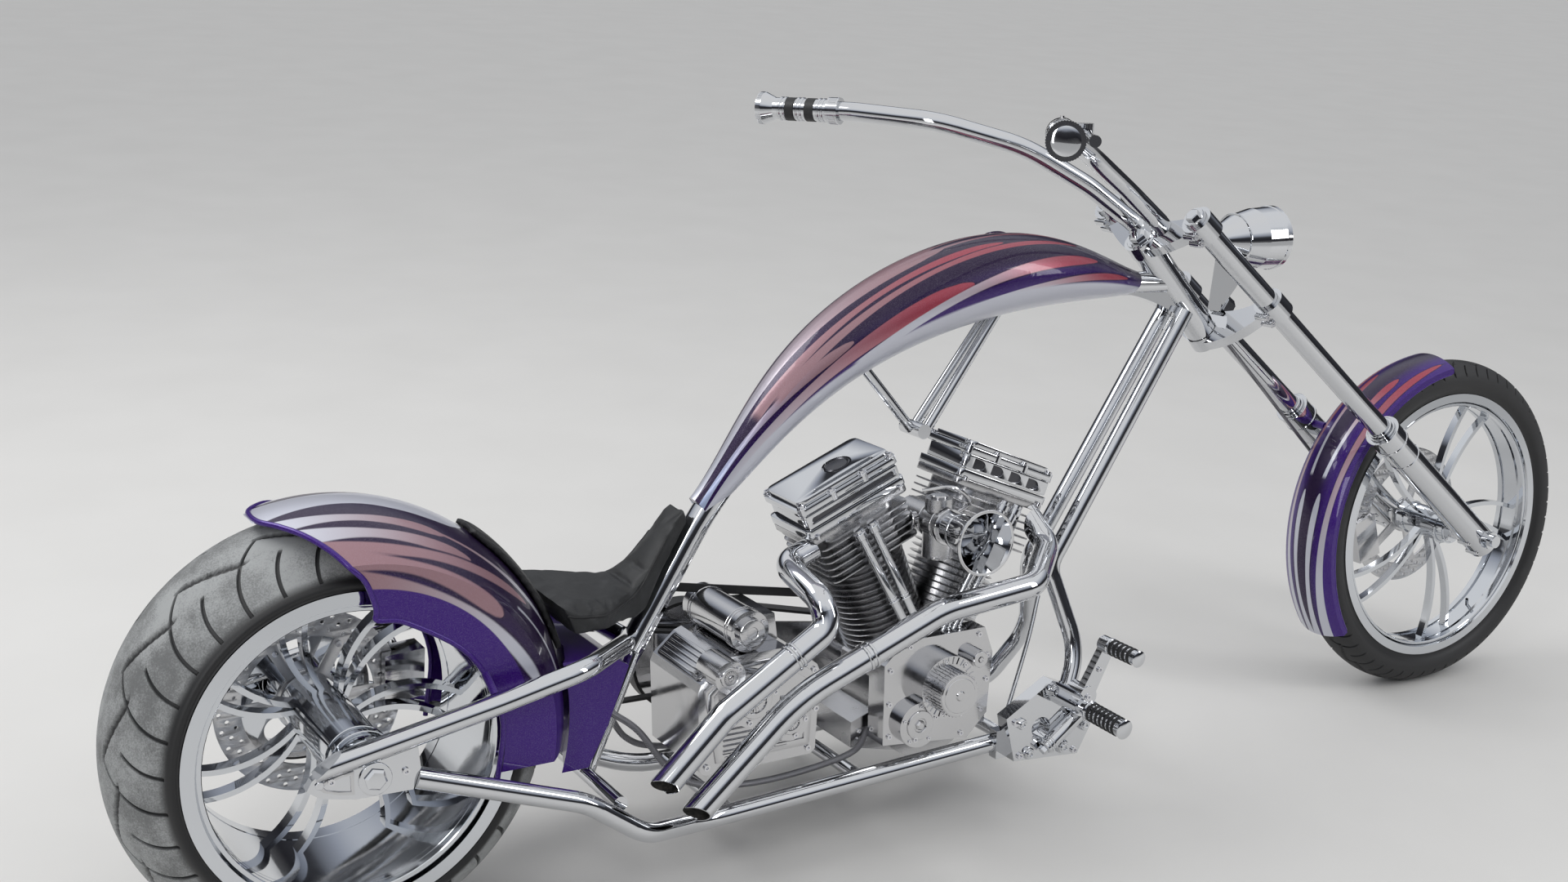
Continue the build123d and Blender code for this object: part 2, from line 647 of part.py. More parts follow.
def oil_tank():
    """Upright tank between the rear fender and the seat posts."""
    x = OIL_X
    body = plate([(x - 80, 236), (x, 236), (x + 34, 300), (x + 70, 392), (x + 34, 414), (x - 66, 414)],
                 -OIL_HALF, OIL_HALF)
    body = fillet(body.edges().filter_by(Axis.Y).group_by(Axis.Z)[-1], 8)
    room = REAR_FENDER_R + PAD_THICK + 2
    side_r, side_half = REAR_FENDER_R - REAR_FENDER_DROP + 6, REAR_FENDER_HALF + 3
    body -= wheel_turn(section((0, -side_half), (side_r, -side_half), (room - 22, -100), (room, -40), (room, 40),
                               (room - 22, 100), (side_r, side_half), (0, side_half)), 0, REAR_Z)
    for side in (-1, 1):
        body -= tube(upper_path(side), RAIL_D + 2 * SADDLE, UPPER_BENDS)
        body -= rod((486, side * 22, 376), (396, side * 34, 190), POST_D + 2 * SADDLE)
    body -= rod((396, -165, 190), (396, 165, 190), 24 + 6)
    return max(body.solids(), key=lambda s: s.volume)


# Engine and drive

def crankcase():
    x, z = CRANK
    body = disc(x, z, -CASE_HALF, CASE_HALF, CASE_R)
    deck = plate([(x - 96, z + 20), (x - 96, z + 66), (x - 20, z + 112), (x + 20, z + 112),
                  (x + 96, z + 66), (x + 96, z + 20)], -62, 62)
    body += deck
    body += plate([(x - 150, z - 66), (x - 60, z - 88), (x - 60, z + 10), (x - 150, z - 20)], -60, 60)
    body += plate([(x + 60, z - 88), (x + 132, z - 70), (x + 132, z - 40), (x + 60, z + 10)], -60, 60)
    for side in (-1, 1):
        body -= vee_cylinder_room(side)
    return body


def vee_plane(side):
    """Plane square to one cylinder's axis, at the crank: side -1 is the rear cylinder."""
    angle = radians(VEE_HALF) * side
    return Plane(origin=(CRANK[0], 0, CRANK[1]), x_dir=(cos(angle), 0, -sin(angle)),
                 z_dir=(sin(angle), 0, cos(angle)))


def vee_cylinder_room(side):
    low = Cylinder(FIN_R + 4, 200, align=(Align.CENTER, Align.CENTER, Align.MIN))
    return vee_plane(side) * Pos(0, 0, BARREL_START) * low


BARREL_FINS = 8
HEAD_FINS = 3
FIN_THICK = 4.0
HEAD_LENGTH = 184.0
HEAD_WIDE = 146.0


def vee_cylinder(side):
    """A finned barrel and its finned head."""
    base = (Align.CENTER, Align.CENTER, Align.MIN)
    body = Pos(0, 0, BARREL_START) * Cylinder(BARREL_R, BARREL_END - BARREL_START + 1, align=base)
    pitch = (BARREL_END - BARREL_START - 20) / BARREL_FINS
    for i in range(BARREL_FINS):
        body += Pos(0, 0, BARREL_START + 18 + i * pitch) * Cylinder(FIN_R, FIN_THICK, align=base)
    head_h = HEAD_END - BARREL_END
    body += Pos(0, 0, BARREL_END) * Box(128, 108, head_h, align=base)
    step = head_h / (HEAD_FINS + 0.5)
    for i in range(HEAD_FINS):
        body += Pos(0, 0, BARREL_END + i * step + 6) * Box(HEAD_LENGTH, HEAD_WIDE, FIN_THICK + 1, align=base)
    body += Pos(0, 0, HEAD_END - 12) * Box(ROCKER_LENGTH, 2 * ROCKER_HALF, 12, align=base)
    placed = vee_plane(side) * body
    if side > 0:
        return placed - vee_plane(-1) * Pos(0, 0, BARREL_START) * Cylinder(FIN_R + 1, 400, align=base)
    return placed


def rocker_box(side):
    """Rocker cover with a raised top plate."""
    base = (Align.CENTER, Align.CENTER, Align.MIN)
    low = HEAD_END + FIT
    lower = Box(ROCKER_LENGTH, 2 * ROCKER_HALF, ROCKER_END - low - 10, align=base)
    lower = chamfer(lower.edges().filter_by(Axis.Z), 8)
    upper = Pos(0, 0, ROCKER_END - low - 10) * Box(ROCKER_LENGTH - 14, 2 * ROCKER_HALF - 14, 10, align=base)
    body = lower + upper
    body += Pos(side * -20, 0, ROCKER_END - low) * Cylinder(24, 4, align=base)
    return vee_plane(side) * Pos(0, 0, low) * body


CAM = (1016.0, 265.0)
CHEST_TOP = 348.0


def cam_cover():
    """Timing chest on the right of the crankcase, with its round covers."""
    out = -CASE_HALF - FIT
    body = plate([(905, 168), (1080, 150), (1120, 190), (1128, 300), (1110, CHEST_TOP), (945, CHEST_TOP), (905, 310)],
                 -118, out)
    body = body - vee_cylinder_room(-1) - vee_cylinder_room(1)
    body += disc(CAM[0], CAM[1], -150, -100, 55)
    body += disc(CAM[0] + 2, CAM[1] - 6, -178, -140, 38)
    body += disc(968, 200, -136, -100, 40)
    body += disc(1086, 300, -140, -100, 16)
    return max(body.solids(), key=lambda s: s.volume)


def pushrod_tubes():
    """Four pushrod tubes from the timing chest to the heads."""
    solids = []
    chest = Pos(CAM[0], -96, CHEST_TOP + FIT - 50) * Box(400, 80, 100)
    for side in (-1, 1):
        for spread in (-1, 1):
            top = vee_plane(side).from_local_coords(Vector(spread * 14 + side * 10, -88, HEAD_END - 14))
            foot = (CAM[0] + side * 28 + spread * 11, -96, CHEST_TOP - 10)
            solids.append(rod(foot, (top.X, top.Y, top.Z), 16) - chest)
    return Compound(children=solids)


INTAKE = (1028.0, 537.0)


def carburettor():
    x, z = INTAKE
    body = disc(x, z, -118, 4, 27)
    body += Pos(x, -84, z - 36) * Cylinder(27, 44)
    body += Pos(x, -84, z + 34) * Cylinder(24, 22)
    body += Pos(x, 4, z) * Box(150, 40, 36)
    for side in (-1, 1):
        body -= head_room(side)
    return max(body.solids(), key=lambda s: s.volume)


TRUMPET_R = 54.0


def intake_trumpet():
    """Polished open air horn with a butterfly inside."""
    x, z = INTAKE
    edges = ThreePointArc((27, -118.5), (34, -170), (TRUMPET_R, -222))
    edges += Line((TRUMPET_R, -222), (TRUMPET_R - 3, -222))
    edges += ThreePointArc((TRUMPET_R - 3, -222), (31, -170), (24, -118.5))
    edges += Line((24, -118.5), (27, -118.5))
    horn = wheel_turn(edges, x, z)
    return horn + rod((x - 34, -172, z), (x + 34, -172, z), 6) + disc(x, z, -150, -146, 31)


REAR_PIPE = [
    (800, -46, 512), (738, -66, 500), (742, -176, 470), (748, -192, 428), (560, -198, 318), (450, -198, 216),
]
REAR_PIPE_BENDS = [34, 34, 34, 60]
FRONT_PIPE = [
    (1240, -52, 520), (1242, -112, 474), (1156, -190, 438), (960, -198, 424), (690, -198, 320),
    (505, -198, 160),
]
FRONT_PIPE_BENDS = [45, 60, 160, 300]


def exhaust(points, bends):
    """A pipe with an open, slanted end."""
    pipe = tube(points, PIPE_D, bends)
    end = Vector(*points[-1])
    run = (end - Vector(*points[-2])).normalized()
    start = end - run * 90
    bore = rod(tuple(start), tuple(end + run * 20), PIPE_D - 2 * PIPE_WALL)
    slash = Plane(origin=tuple(end - run * 4), z_dir=run + Vector(0, -0.75, -0.2)) * Pos(0, 0, 60)
    return pipe - bore - slash * Box(200, 200, 120)


def head_room(side):
    """A cylinder's outer shape, grown by the fit, as a cutter."""
    base = (Align.CENTER, Align.CENTER, Align.MIN)
    grow = 2 * FIT
    body = Pos(0, 0, BARREL_START) * Cylinder(FIN_R + FIT, BARREL_END - BARREL_START, align=base)
    body += Pos(0, 0, BARREL_END) * Box(HEAD_LENGTH + grow, HEAD_WIDE + grow, HEAD_END - BARREL_END - 12, align=base)
    body += Pos(0, 0, HEAD_END - 12 - FIT) * Box(
        ROCKER_LENGTH + grow, 2 * ROCKER_HALF + grow, ROCKER_END - HEAD_END + 20, align=base)
    return vee_plane(side) * body


def exhaust_rear():
    body = exhaust(REAR_PIPE, REAR_PIPE_BENDS) - head_room(-1)
    return max(body.solids(), key=lambda s: s.volume)


def exhaust_front():
    body = exhaust(FRONT_PIPE, FRONT_PIPE_BENDS) - head_room(1)
    return max(body.solids(), key=lambda s: s.volume)


GEAR = (690.0, 262.0)
GEAR_TOP = 104.0


def transmission():
    """Gearbox case with its covers and a polished top."""
    x, z = GEAR
    body = plate([(x - 120, z - 92), (x + 96, z - 92), (x + 104, z + 60), (x + 50, z + GEAR_TOP), (x - 74, z + GEAR_TOP),
                  (x - 124, z + 60)], -92, 84)
    body = chamfer(body.edges().filter_by(Axis.Y), 8)
    body += disc(x - 30, z + 30, -112, -92, 46)
    body += disc(x - 84, z + 84, -128, -60, 27)
    body += disc(x + 40, z - 20, -108, -92, 34)
    body += disc(x, z, 84, BELT_HIGH - 2, GEAR_PULLEY_R)
    body += disc(x, z, BELT_HIGH - 2, PRIMARY_PLATE - FIT, 26)
    return body


STARTER_R = 35.0


def starter_motor():
    """Starter and the cover beside it, on the gearbox's top."""
    x, top = GEAR[0] - 62 + STARTER_R, GEAR[1] + GEAR_TOP + FIT
    body = disc(x, top + STARTER_R, -86, 86, STARTER_R)
    body += disc(x, top + STARTER_R, -94, -86, 24)
    return body + plate([(x, top), (x + 72, top), (x + 66, top + 46), (x, top + 50)], -50, 62)


CRANK_PULLEY_R = 62.0
CLUTCH_R = 96.0
PRIMARY_PLATE = 189.0       # inner face of the primary's backing plate
PRIMARY_LOW = 201.0
PRIMARY_HIGH = 238.0
GEAR_PULLEY_R = 50.0


def belt_loop(c1, r1, c2, r2, y_low, y_high, thick):
    """A closed belt round two pulleys."""
    def outline(a, b):
        dx, dz = c2[0] - c1[0], c2[1] - c1[1]
        length = hypot(dx, dz)
        base = atan2(dz, dx)
        tilt = acos((a - b) / length)
        p = []
        for sign in (1, -1):
            angle = base + sign * tilt
            p.append((c1[0] + a * cos(angle), c1[1] + a * sin(angle)))
            p.append((c2[0] + b * cos(angle), c2[1] + b * sin(angle)))
        far1 = (c1[0] - a * cos(base), c1[1] - a * sin(base))
        far2 = (c2[0] + b * cos(base), c2[1] + b * sin(base))
        to3 = lambda q: (q[0], y_low, q[1])
        edges = Line(to3(p[0]), to3(p[1])) + ThreePointArc(to3(p[1]), to3(far2), to3(p[3]))
        edges += Line(to3(p[3]), to3(p[2])) + ThreePointArc(to3(p[2]), to3(far1), to3(p[0]))
        return make_face(edges)
    outer = extrude(outline(r1 + thick, r2 + thick), amount=y_high - y_low, dir=(0, 1, 0))
    inner = extrude(outline(r1, r2), amount=y_high - y_low, dir=(0, 1, 0))
    return outer - inner


def primary_belt():
    return belt_loop(GEAR, CLUTCH_R + FIT, CRANK, CRANK_PULLEY_R + FIT, PRIMARY_LOW + 2, PRIMARY_HIGH - 2, 5)


def primary_drive():
    """Clutch and engine pulleys of the open primary belt, on their backing plate."""
    gx, gz = GEAR
    cx, cz = CRANK
    clutch = disc(gx, gz, PRIMARY_LOW, PRIMARY_HIGH, CLUTCH_R) + disc(gx, gz, PRIMARY_HIGH, PRIMARY_HIGH + 14, 58)
    crank = disc(cx, cz, PRIMARY_LOW, PRIMARY_HIGH, CRANK_PULLEY_R) + disc(cx, cz, PRIMARY_HIGH, PRIMARY_HIGH + 8, 24)
    back = plate([(gx - 60, gz - 60), (cx + 60, cz - 40), (cx + 60, cz + 50), (gx - 60, gz + 76)],
                 PRIMARY_PLATE, PRIMARY_LOW - 2)
    hubs = disc(gx, gz, PRIMARY_PLATE, PRIMARY_LOW, 30) + disc(cx, cz, CASE_HALF + FIT, PRIMARY_LOW, 48)
    return clutch + crank + back + hubs


BELT_RUN = 0.5              # the belt's gap round the turning pulley


def final_belt():
    return belt_loop((0, REAR_Z), REAR_PULLEY_R + BELT_RUN, GEAR, GEAR_PULLEY_R + FIT,
                     BELT_LOW + 1, BELT_HIGH - 1, 5)


def rear_caliper():
    """Drive side brake caliper, hung from the upper rail by a bar."""
    body = plate([(112, 312), (176, 318), (180, 396), (116, 392)], REAR_DISC_LOW - 22, 148)
    slot = disc(0, REAR_Z, REAR_DISC_LOW - 2, REAR_DISC_HIGH + 2, REAR_DISC_R + 6)
    hanger = rod((150, 147, 380), (150, RAIL_Y - 6, 394), 16)
    rail = tube(upper_path(1), RAIL_D + 2 * SADDLE, UPPER_BENDS)
    return body - slot + (hanger - rail)


# Controls

# side view of the left bracket, from the foot rest's pivot
BRACKET_LOWER = [(-118, -92), (22, -104), (52, -50), (30, 14)]
BRACKET_UPPER = [(-40, 44), (-138, -10)]
FOOT = (1268.0, 200.0)      # the foot rest's pivot, in the side view
PEDAL = (1280.0, 216.0)


def foot_control(side):
    """Forward control: bracket, rubber foot rest, pedal arm and its toe peg."""
    outer = lambda a, b: sorted((side * a, side * b))
    fx, fz = FOOT
    outline = [(fx + x, fz + z) for x, z in BRACKET_LOWER + BRACKET_UPPER]
    body = plate(outline, *outer(LOWER_Y + 18, LOWER_Y + 46))
    body -= disc(fx - 62, fz - 40, *outer(LOWER_Y, LOWER_Y + 60), 20)
    body += disc(fx, fz, *outer(LOWER_Y + 40, 200), 17)
    px, pz = PEDAL
    body += disc(px, pz, *outer(LOWER_Y + 40, 198), 19)
    body += rod((fx, side * 196, fz), (fx + 3, side * 222, fz - 1), 24)
    body += rod((fx + 2, side * 216, fz - 1), (fx + 5, side * 306, fz - 5), 32)
    body += plate([(px - 14, pz + 8), (px + 14, pz - 4), (px + 56, pz + 80), (px + 36, pz + 92)], *outer(180, 196))
    body += rod((px + 45, side * 178, pz + 86), (px + 45, side * 198, pz + 86), 30)
    body += rod((px + 45, side * 196, pz + 86), (px + 49, side * 268, pz + 84), 27)
    rail = tube(lower_path(side), RAIL_D + 2 * FIT, LOWER_BENDS)
    down = tube(down_path(side), RAIL_D + 2 * FIT, DOWN_BENDS)
    clamp = plate([(1130, 106), (1180, 106), (1180, 158), (1130, 158)], *outer(LOWER_Y, LOWER_Y + 20))
    body = body + clamp - rail - down
    return max(body.solids(), key=lambda s: s.volume)


# Fork and bars

NECK_RUN = 1.0
YOKE_THICK = 28.0
CLAMP_TALL = 40.0           # length of a yoke's fork clamps
TOP_YOKE = along(NECK_MID, STEER_DIR, NECK_LENGTH / 2 + NECK_RUN + YOKE_THICK / 2)
LOW_YOKE = along(NECK_MID, STEER_DIR, -NECK_LENGTH / 2 - NECK_RUN - YOKE_THICK / 2)
AXLE_POINT = (WHEELBASE, FRONT_Z)


def fork_point(height):
    """A point on the fork line, measured up from the front axle."""
    return along(AXLE_POINT, FORK_DIR, height)


def fork_height_at(point):
    """Where a yoke's clamp meets the fork line."""
    return (point[0] - AXLE_POINT[0]) * FORK_DIR[0] + (point[1] - AXLE_POINT[1]) * FORK_DIR[1]


TOP_CLAMP = fork_height_at(TOP_YOKE) + 6
LOW_CLAMP = fork_height_at(LOW_YOKE) + 4
FORK_TOP = TOP_CLAMP + FORK_ABOVE_YOKE


def bridge_plane(centre, clamp_height):
    """Plane of a yoke's bridge, from the steering axis towards the fork legs."""
    cx, cz = centre
    fx, fz = fork_point(clamp_height)
    return Plane(origin=(cx, 0, cz), x_dir=(fx - cx, 0, fz - cz), z_dir=(-(fz - cz), 0, fx - cx))


CLAMP_WALL = 8.0
BOSS_D = 62.0               # of a yoke's stem boss
PLATE_INSET = 3.0           # of a yoke's bridge from its boss's faces


def neck_room():
    """The space that the yokes leave round the neck."""
    return rod(neck_point(-NECK_LENGTH / 2 - NECK_RUN), neck_point(NECK_LENGTH / 2 + NECK_RUN), NECK_D + 52)


def yoke(centre, clamp_height, thick):
    """A yoke: stem boss, two fork clamps and a swept bridge with curved edges."""
    cx, cz = centre
    fx, fz = fork_point(clamp_height)
    body = rod((cx - STEER_DIR[0] * thick / 2, 0, cz - STEER_DIR[1] * thick / 2),
               (cx + STEER_DIR[0] * thick / 2, 0, cz + STEER_DIR[1] * thick / 2), BOSS_D)
    for side in (-1, 1):
        low = fork_point(clamp_height - CLAMP_TALL / 2)
        high = fork_point(clamp_height + CLAMP_TALL / 2)
        body += rod((low[0], side * FORK_Y, low[1]), (high[0], side * FORK_Y, high[1]), FORK_TUBE_D + 2 * CLAMP_WALL)
    half = thick / 2 - PLATE_INSET
    reach = hypot(fx - cx, fz - cz)
    front, tip = reach + 14, FORK_Y - 14
    edges = ThreePointArc((front, tip), (34 + reach * 0.18, 0), (front, -tip))
    edges += Line((front, -tip), (reach - 16, -FORK_Y))
    edges += ThreePointArc((reach - 16, -FORK_Y), (-8, -52), (-27, 0))
    edges += ThreePointArc((-27, 0), (-8, 52), (reach - 16, FORK_Y))
    edges += Line((reach - 16, FORK_Y), (front, tip))
    body += bridge_plane(centre, clamp_height) * extrude(make_face(edges), amount=half, both=True)
    for side in (-1, 1):
        low, high = fork_point(clamp_height - 90), fork_point(clamp_height + 90)
        body -= rod((low[0], side * FORK_Y, low[1]), (high[0], side * FORK_Y, high[1]), FORK_TUBE_D + 2 * FIT)
    return body - neck_room()


LAMP = (NECK_MID[0] + 172.4, NECK_MID[1] + 86.6)
LAMP_R = 59.0
BRACKET_LONG = 18.0         # half length of the lamp bracket's foot
BRACKET_HALF = 17.0
LAMP_FRONT = 57.0           # from the lamp's centre to its lens
LAMP_BACK = 94.0
LAMP_AHEAD = 66.0           # of the steering axis, on the lower yoke's tab


def top_yoke():
    return yoke(TOP_YOKE, TOP_CLAMP, YOKE_THICK)


def lower_yoke():
    """Lower yoke with the stem and a tab for the headlamp."""
    body = yoke(LOW_YOKE, LOW_CLAMP, YOKE_THICK)
    tab = make_face(Polyline((20, -24), (20, 24), (LAMP_AHEAD + 10, 20), (LAMP_AHEAD + 20, 10),
                             (LAMP_AHEAD + 20, -10), (LAMP_AHEAD + 10, -20), close=True))
    body += bridge_plane(LOW_YOKE, LOW_CLAMP) * extrude(tab, amount=YOKE_THICK / 2 - PLATE_INSET, both=True)
    body -= neck_room()
    top = along(TOP_YOKE, STEER_DIR, -YOKE_THICK / 2 - FIT)
    stem = rod((LOW_YOKE[0], 0, LOW_YOKE[1]), (top[0], 0, top[1]), 2 * STEM_R)
    return body + stem


def fork_leg(side):
    """Polished fork tube, slider and collar."""
    y = side * FORK_Y
    top = fork_point(FORK_TOP)
    collar = fork_point(SLIDER_LENGTH - 30)
    low = fork_point(-34)
    body = rod((collar[0], y, collar[1]), (top[0], y, top[1]), FORK_TUBE_D)
    body += rod((low[0], y, low[1]), (collar[0], y, collar[1]), SLIDER_D)
    c1, c2 = fork_point(SLIDER_LENGTH - 46), fork_point(SLIDER_LENGTH - 8)
    body += rod((c1[0], y, c1[1]), (c2[0], y, c2[1]), SLIDER_D + 6)
    return body - disc(AXLE_POINT[0], AXLE_POINT[1], y - 60, y + 60, AXLE_R + AXLE_RUN)


def front_axle():
    inner = FORK_Y - SLIDER_D / 2 - FIT
    out = FORK_Y + SLIDER_D / 2
    body = disc(WHEELBASE, FRONT_Z, -out - NUT - AXLE_END, out + NUT + AXLE_END, AXLE_R)
    for side in (-1, 1):
        low, high = sorted((side * (out + FIT), side * (out + NUT)))
        body += disc(WHEELBASE, FRONT_Z, low, high, 18)
    body += disc(WHEELBASE, FRONT_Z, -inner, -FRONT_HUB_HALF - 1, 19)
    body += disc(WHEELBASE, FRONT_Z, FRONT_DISC_HIGH + 1, inner, 19)
    return body


BAR_D = 34.0
GRIP_D = 40.0
# from the middle of the top yoke: ahead, out and up
BAR_POINTS = [
    (23, 24, 15), (7, 42, 36), (-87, 56, 102), (-207, 92, 172), (-337, 180, 214), (-437, 298, 226),
    (-540, 440, GRIP_Z - TOP_YOKE[1]),
]
BAR_PATH = [(TOP_YOKE[0] + x, y, TOP_YOKE[1] + z) for x, y, z in BAR_POINTS]
BAR_BENDS = [50, 250, 220, 220, 160]


def half_bar(side, extra=0.0):
    return tube([(x, side * y, z) for x, y, z in BAR_PATH], BAR_D + 2 * extra, BAR_BENDS)


def handlebar(side):
    """One of two bars that sweep up and back from the middle of the top yoke, side by side at first."""
    room = 2 * YOKE_THICK
    seat_z = YOKE_THICK / 2 - PLATE_INSET + FIT
    below = bridge_plane(TOP_YOKE, TOP_CLAMP) * Pos(0, 0, seat_z - room) * Box(200, 200, 2 * room)
    low, high = along(TOP_YOKE, STEER_DIR, -room), along(TOP_YOKE, STEER_DIR, YOKE_THICK / 2 + FIT)
    body = half_bar(side) - below - rod((low[0], 0, low[1]), (high[0], 0, high[1]), BOSS_D + 2 * FIT)
    return max(body.solids(), key=lambda s: s.volume)


GRIP_START = 27.0           # from the bar's last bend
GRIP_PAST = 10.0            # of the grip's end past the bar's
GRIP_CAP_D = 58.0


def grip_line(side):
    """The bar's last bend and the direction of its straight end."""
    corner, end = [Vector(x, side * y, z) for x, y, z in BAR_PATH[-2:]]
    return corner, (end - corner).normalized(), (end - corner).length


def grip(side):
    """Grip sleeve with a clamp ring and a flared end cap."""
    corner, run, length = grip_line(side)
    start = corner + run * GRIP_START
    bar_end = corner + run * length
    end = bar_end + run * GRIP_PAST
    sleeve = rod(tuple(start), tuple(end), GRIP_D)
    flare = Plane(origin=tuple(end - run * 30), z_dir=run) * Cone(
        GRIP_D / 2, GRIP_CAP_D / 2, 20, align=(Align.CENTER, Align.CENTER, Align.MIN))
    cap = rod(tuple(end - run * 10), tuple(end), GRIP_CAP_D)
    ring = rod(tuple(start), tuple(start + run * 22), GRIP_D + 8)
    hollow = rod(tuple(start - run * 20), tuple(bar_end + run * FIT), BAR_D + 2 * FIT)
    return sleeve + flare + cap + ring - hollow


PERCH_BACK = 60.0           # of the perch before the bar's last bend


def brake_lever():
    """Right hand lever with its small perch, which clamps the bar inboard of the grip."""
    corner, run, length = grip_line(-1)
    before = Vector(BAR_PATH[-3][0], -BAR_PATH[-3][1], BAR_PATH[-3][2])
    along_bar = (corner - before).normalized()
    clamp = corner - along_bar * (PERCH_BACK - 12)
    ring = rod(tuple(clamp - along_bar * 12), tuple(clamp + along_bar * 12), BAR_D + 16)
    ahead_of = Vector(0, 0, 1).cross(run).normalized()
    pivot = clamp + ahead_of * 36 + Vector(0, 0, 4)
    block = rod(tuple(clamp + ahead_of * 16), tuple(pivot), 24) + rod(
        tuple(pivot - Vector(0, 0, 13)), tuple(pivot + Vector(0, 0, 13)), 26)
    bend = corner + run * 20 + ahead_of * 44
    tip = corner + run * (length - 6) + ahead_of * 42
    lever = tube([tuple(pivot), tuple(bend), tuple(tip)], 12, 60)
    knob = rod(tuple(tip - run * 8), tuple(tip + run * 8), 18)
    body = ring + block + lever + knob - half_bar(-1, FIT)
    return max(body.solids(), key=lambda s: s.volume)


def headlight():
    """Bullet lamp with a flat lens, on a wedge shaped bracket from the lower yoke."""
    x, z = LAMP
    r, front, back = LAMP_R, LAMP_FRONT, -LAMP_BACK
    edges = Polyline((back, 0), (front, 0), (front, r - 4), (front - 8, r), (front - 50, r - 2), (front - 90, r - 11),
                     (back + 26, r - 29), (back + 6, 16), (back, 8), close=True)
    bullet = Plane(origin=(x, 0, z), x_dir=(1, 0, 0), z_dir=(0, -1, 0)) * make_face(edges)
    body = revolve(bullet, Axis((x, 0, z), (1, 0, 0)), 360)
    bridge = bridge_plane(LOW_YOKE, LOW_CLAMP)
    seat_z = YOKE_THICK / 2 - PLATE_INSET + FIT
    rear = bridge.from_local_coords(Vector(LAMP_AHEAD - BRACKET_LONG, 0, seat_z))
    nose = bridge.from_local_coords(Vector(LAMP_AHEAD + BRACKET_LONG, 0, seat_z))
    wedge = plate([(rear.X, rear.Z), (nose.X, nose.Z), (x + 2, z - 44), (x - 58, z - 16)],
                  -BRACKET_HALF, BRACKET_HALF)
    return body + wedge


def front_caliper():
    """Front brake caliper on the left leg, with its lug."""
    x, z = polar(AXLE_POINT, 196, 128)
    body = Pos(x, 0, z) * Box(70, 30, 96)
    slot_low, slot_high = FRONT_DISC_LOW - 2, FRONT_DISC_HIGH + 2
    body = Pos(x, (slot_low + slot_high) / 2, z) * Rot(0, -16, 0) * Box(58, 34, 92)
    body -= disc(WHEELBASE, FRONT_Z, slot_low, slot_high, FRONT_DISC_R + 6)
    lug = fork_point(110)
    arm = rod((lug[0], 86, lug[1]), (x + 10, 82, z + 30), 14)
    body = body + arm
    low, high = fork_point(-40), fork_point(SLIDER_LENGTH)
    body -= rod((low[0], FORK_Y, low[1]), (high[0], FORK_Y, high[1]), SLIDER_D + 2 * FIT)
    return max(body.solids(), key=lambda s: s.volume)


LINE_D = 7.0
LINE_BENDS = [30, 60, 40]


def brake_line():
    """Hose from the lower yoke to the front caliper, along the left fork leg."""
    y = FORK_Y - SLIDER_D / 2 - LINE_D / 2 - 2
    x, z = polar(AXLE_POINT, 196, 128)
    yoke_x, yoke_z = fork_point(LOW_CLAMP - YOKE_THICK / 2 - 1)
    start = (yoke_x - 10, y, yoke_z - 8)
    top, foot = fork_point(LOW_CLAMP - 90), fork_point(290)
    return tube([start, (top[0] - 16, y, top[1] - 14), (foot[0] - 40, y, foot[1] - 34), (x - 30, y - 4, z + 130),
                 (x - 10, y - 8, z + 49)], LINE_D, LINE_BENDS)


# Side stand, shown in its parked position

STAND_PIVOT = (860.0, 156.0, 98.0)
STAND_REACH = 186.0         # outwards, from the pivot to the foot, over the ground
STAND_AHEAD = 96.0
STAND_FOLD = (-1.0, 0.10, 0.06)
STAND_D = 20.0
STAND_EYE_R = 15.0
STAND_EYE = 23.0            # height of the eye along its pin
STAND_PIN_R = 7.0
STAND_RUN = 0.08
STAND_FOOT_R = 22.0
STAND_FOOT_THICK = 7.0


def parked(point):
    """Where an upright point lies once the machine leans."""
    x, y, z = point
    c, s = cos(radians(LEAN)), sin(radians(LEAN))
    return (x - MIDDLE_X, y * c + (z - REAR_Z) * s - MIDDLE_Y, REAR_HEIGHT + (z - REAR_Z) * c - y * s)


def upright(point):
    """Where a parked point lies on the upright machine."""
    x, y, z = point[0] + MIDDLE_X, point[1] + MIDDLE_Y, point[2] - REAR_HEIGHT
    c, s = cos(radians(LEAN)), sin(radians(LEAN))
    return (x, y * c - z * s, z * c + y * s + REAR_Z)


def stand_ankle():
    """Centre of the stand's lower end, upright."""
    px, py, pz = parked(STAND_PIVOT)
    return Vector(*upright((px + STAND_AHEAD, py + STAND_REACH, STAND_FOOT_THICK + STAND_D * 0.4)))


def stand_axis():
    """Direction of the stand's pin, upright: the leg sweeps back about it from parked to folded."""
    leg = stand_ankle() - Vector(*STAND_PIVOT)
    return leg.cross(Vector(*STAND_FOLD)).normalized()


def stand_lug():
    """Lug above the stand's eye, with its pin, welded to the left rail."""
    pivot, axis = Vector(*STAND_PIVOT), stand_axis()
    low = pivot + axis * (STAND_EYE / 2 + 0.5)
    body = rod(tuple(low), tuple(low + axis * 9), 2 * STAND_EYE_R)
    body += rod(tuple(pivot - axis * (STAND_EYE / 2 + 2)), tuple(low + axis), 2 * STAND_PIN_R)
    body += rod(tuple(low + axis * 7.5 + Vector(0, -4, 0)), (STAND_PIVOT[0], LOWER_Y + 2, 122), 9)
    brace = plate([(STAND_PIVOT[0] - 20, 110), (STAND_PIVOT[0] + 20, 110), (STAND_PIVOT[0] + 14, 126),
                   (STAND_PIVOT[0] - 14, 126)], LOWER_Y + 8, STAND_PIVOT[1] - 4)
    eye = rod(tuple(pivot - axis * 40), tuple(pivot + axis * (STAND_EYE / 2 + 0.5)), 2 * STAND_EYE_R + 4)
    return body + (brace - eye)


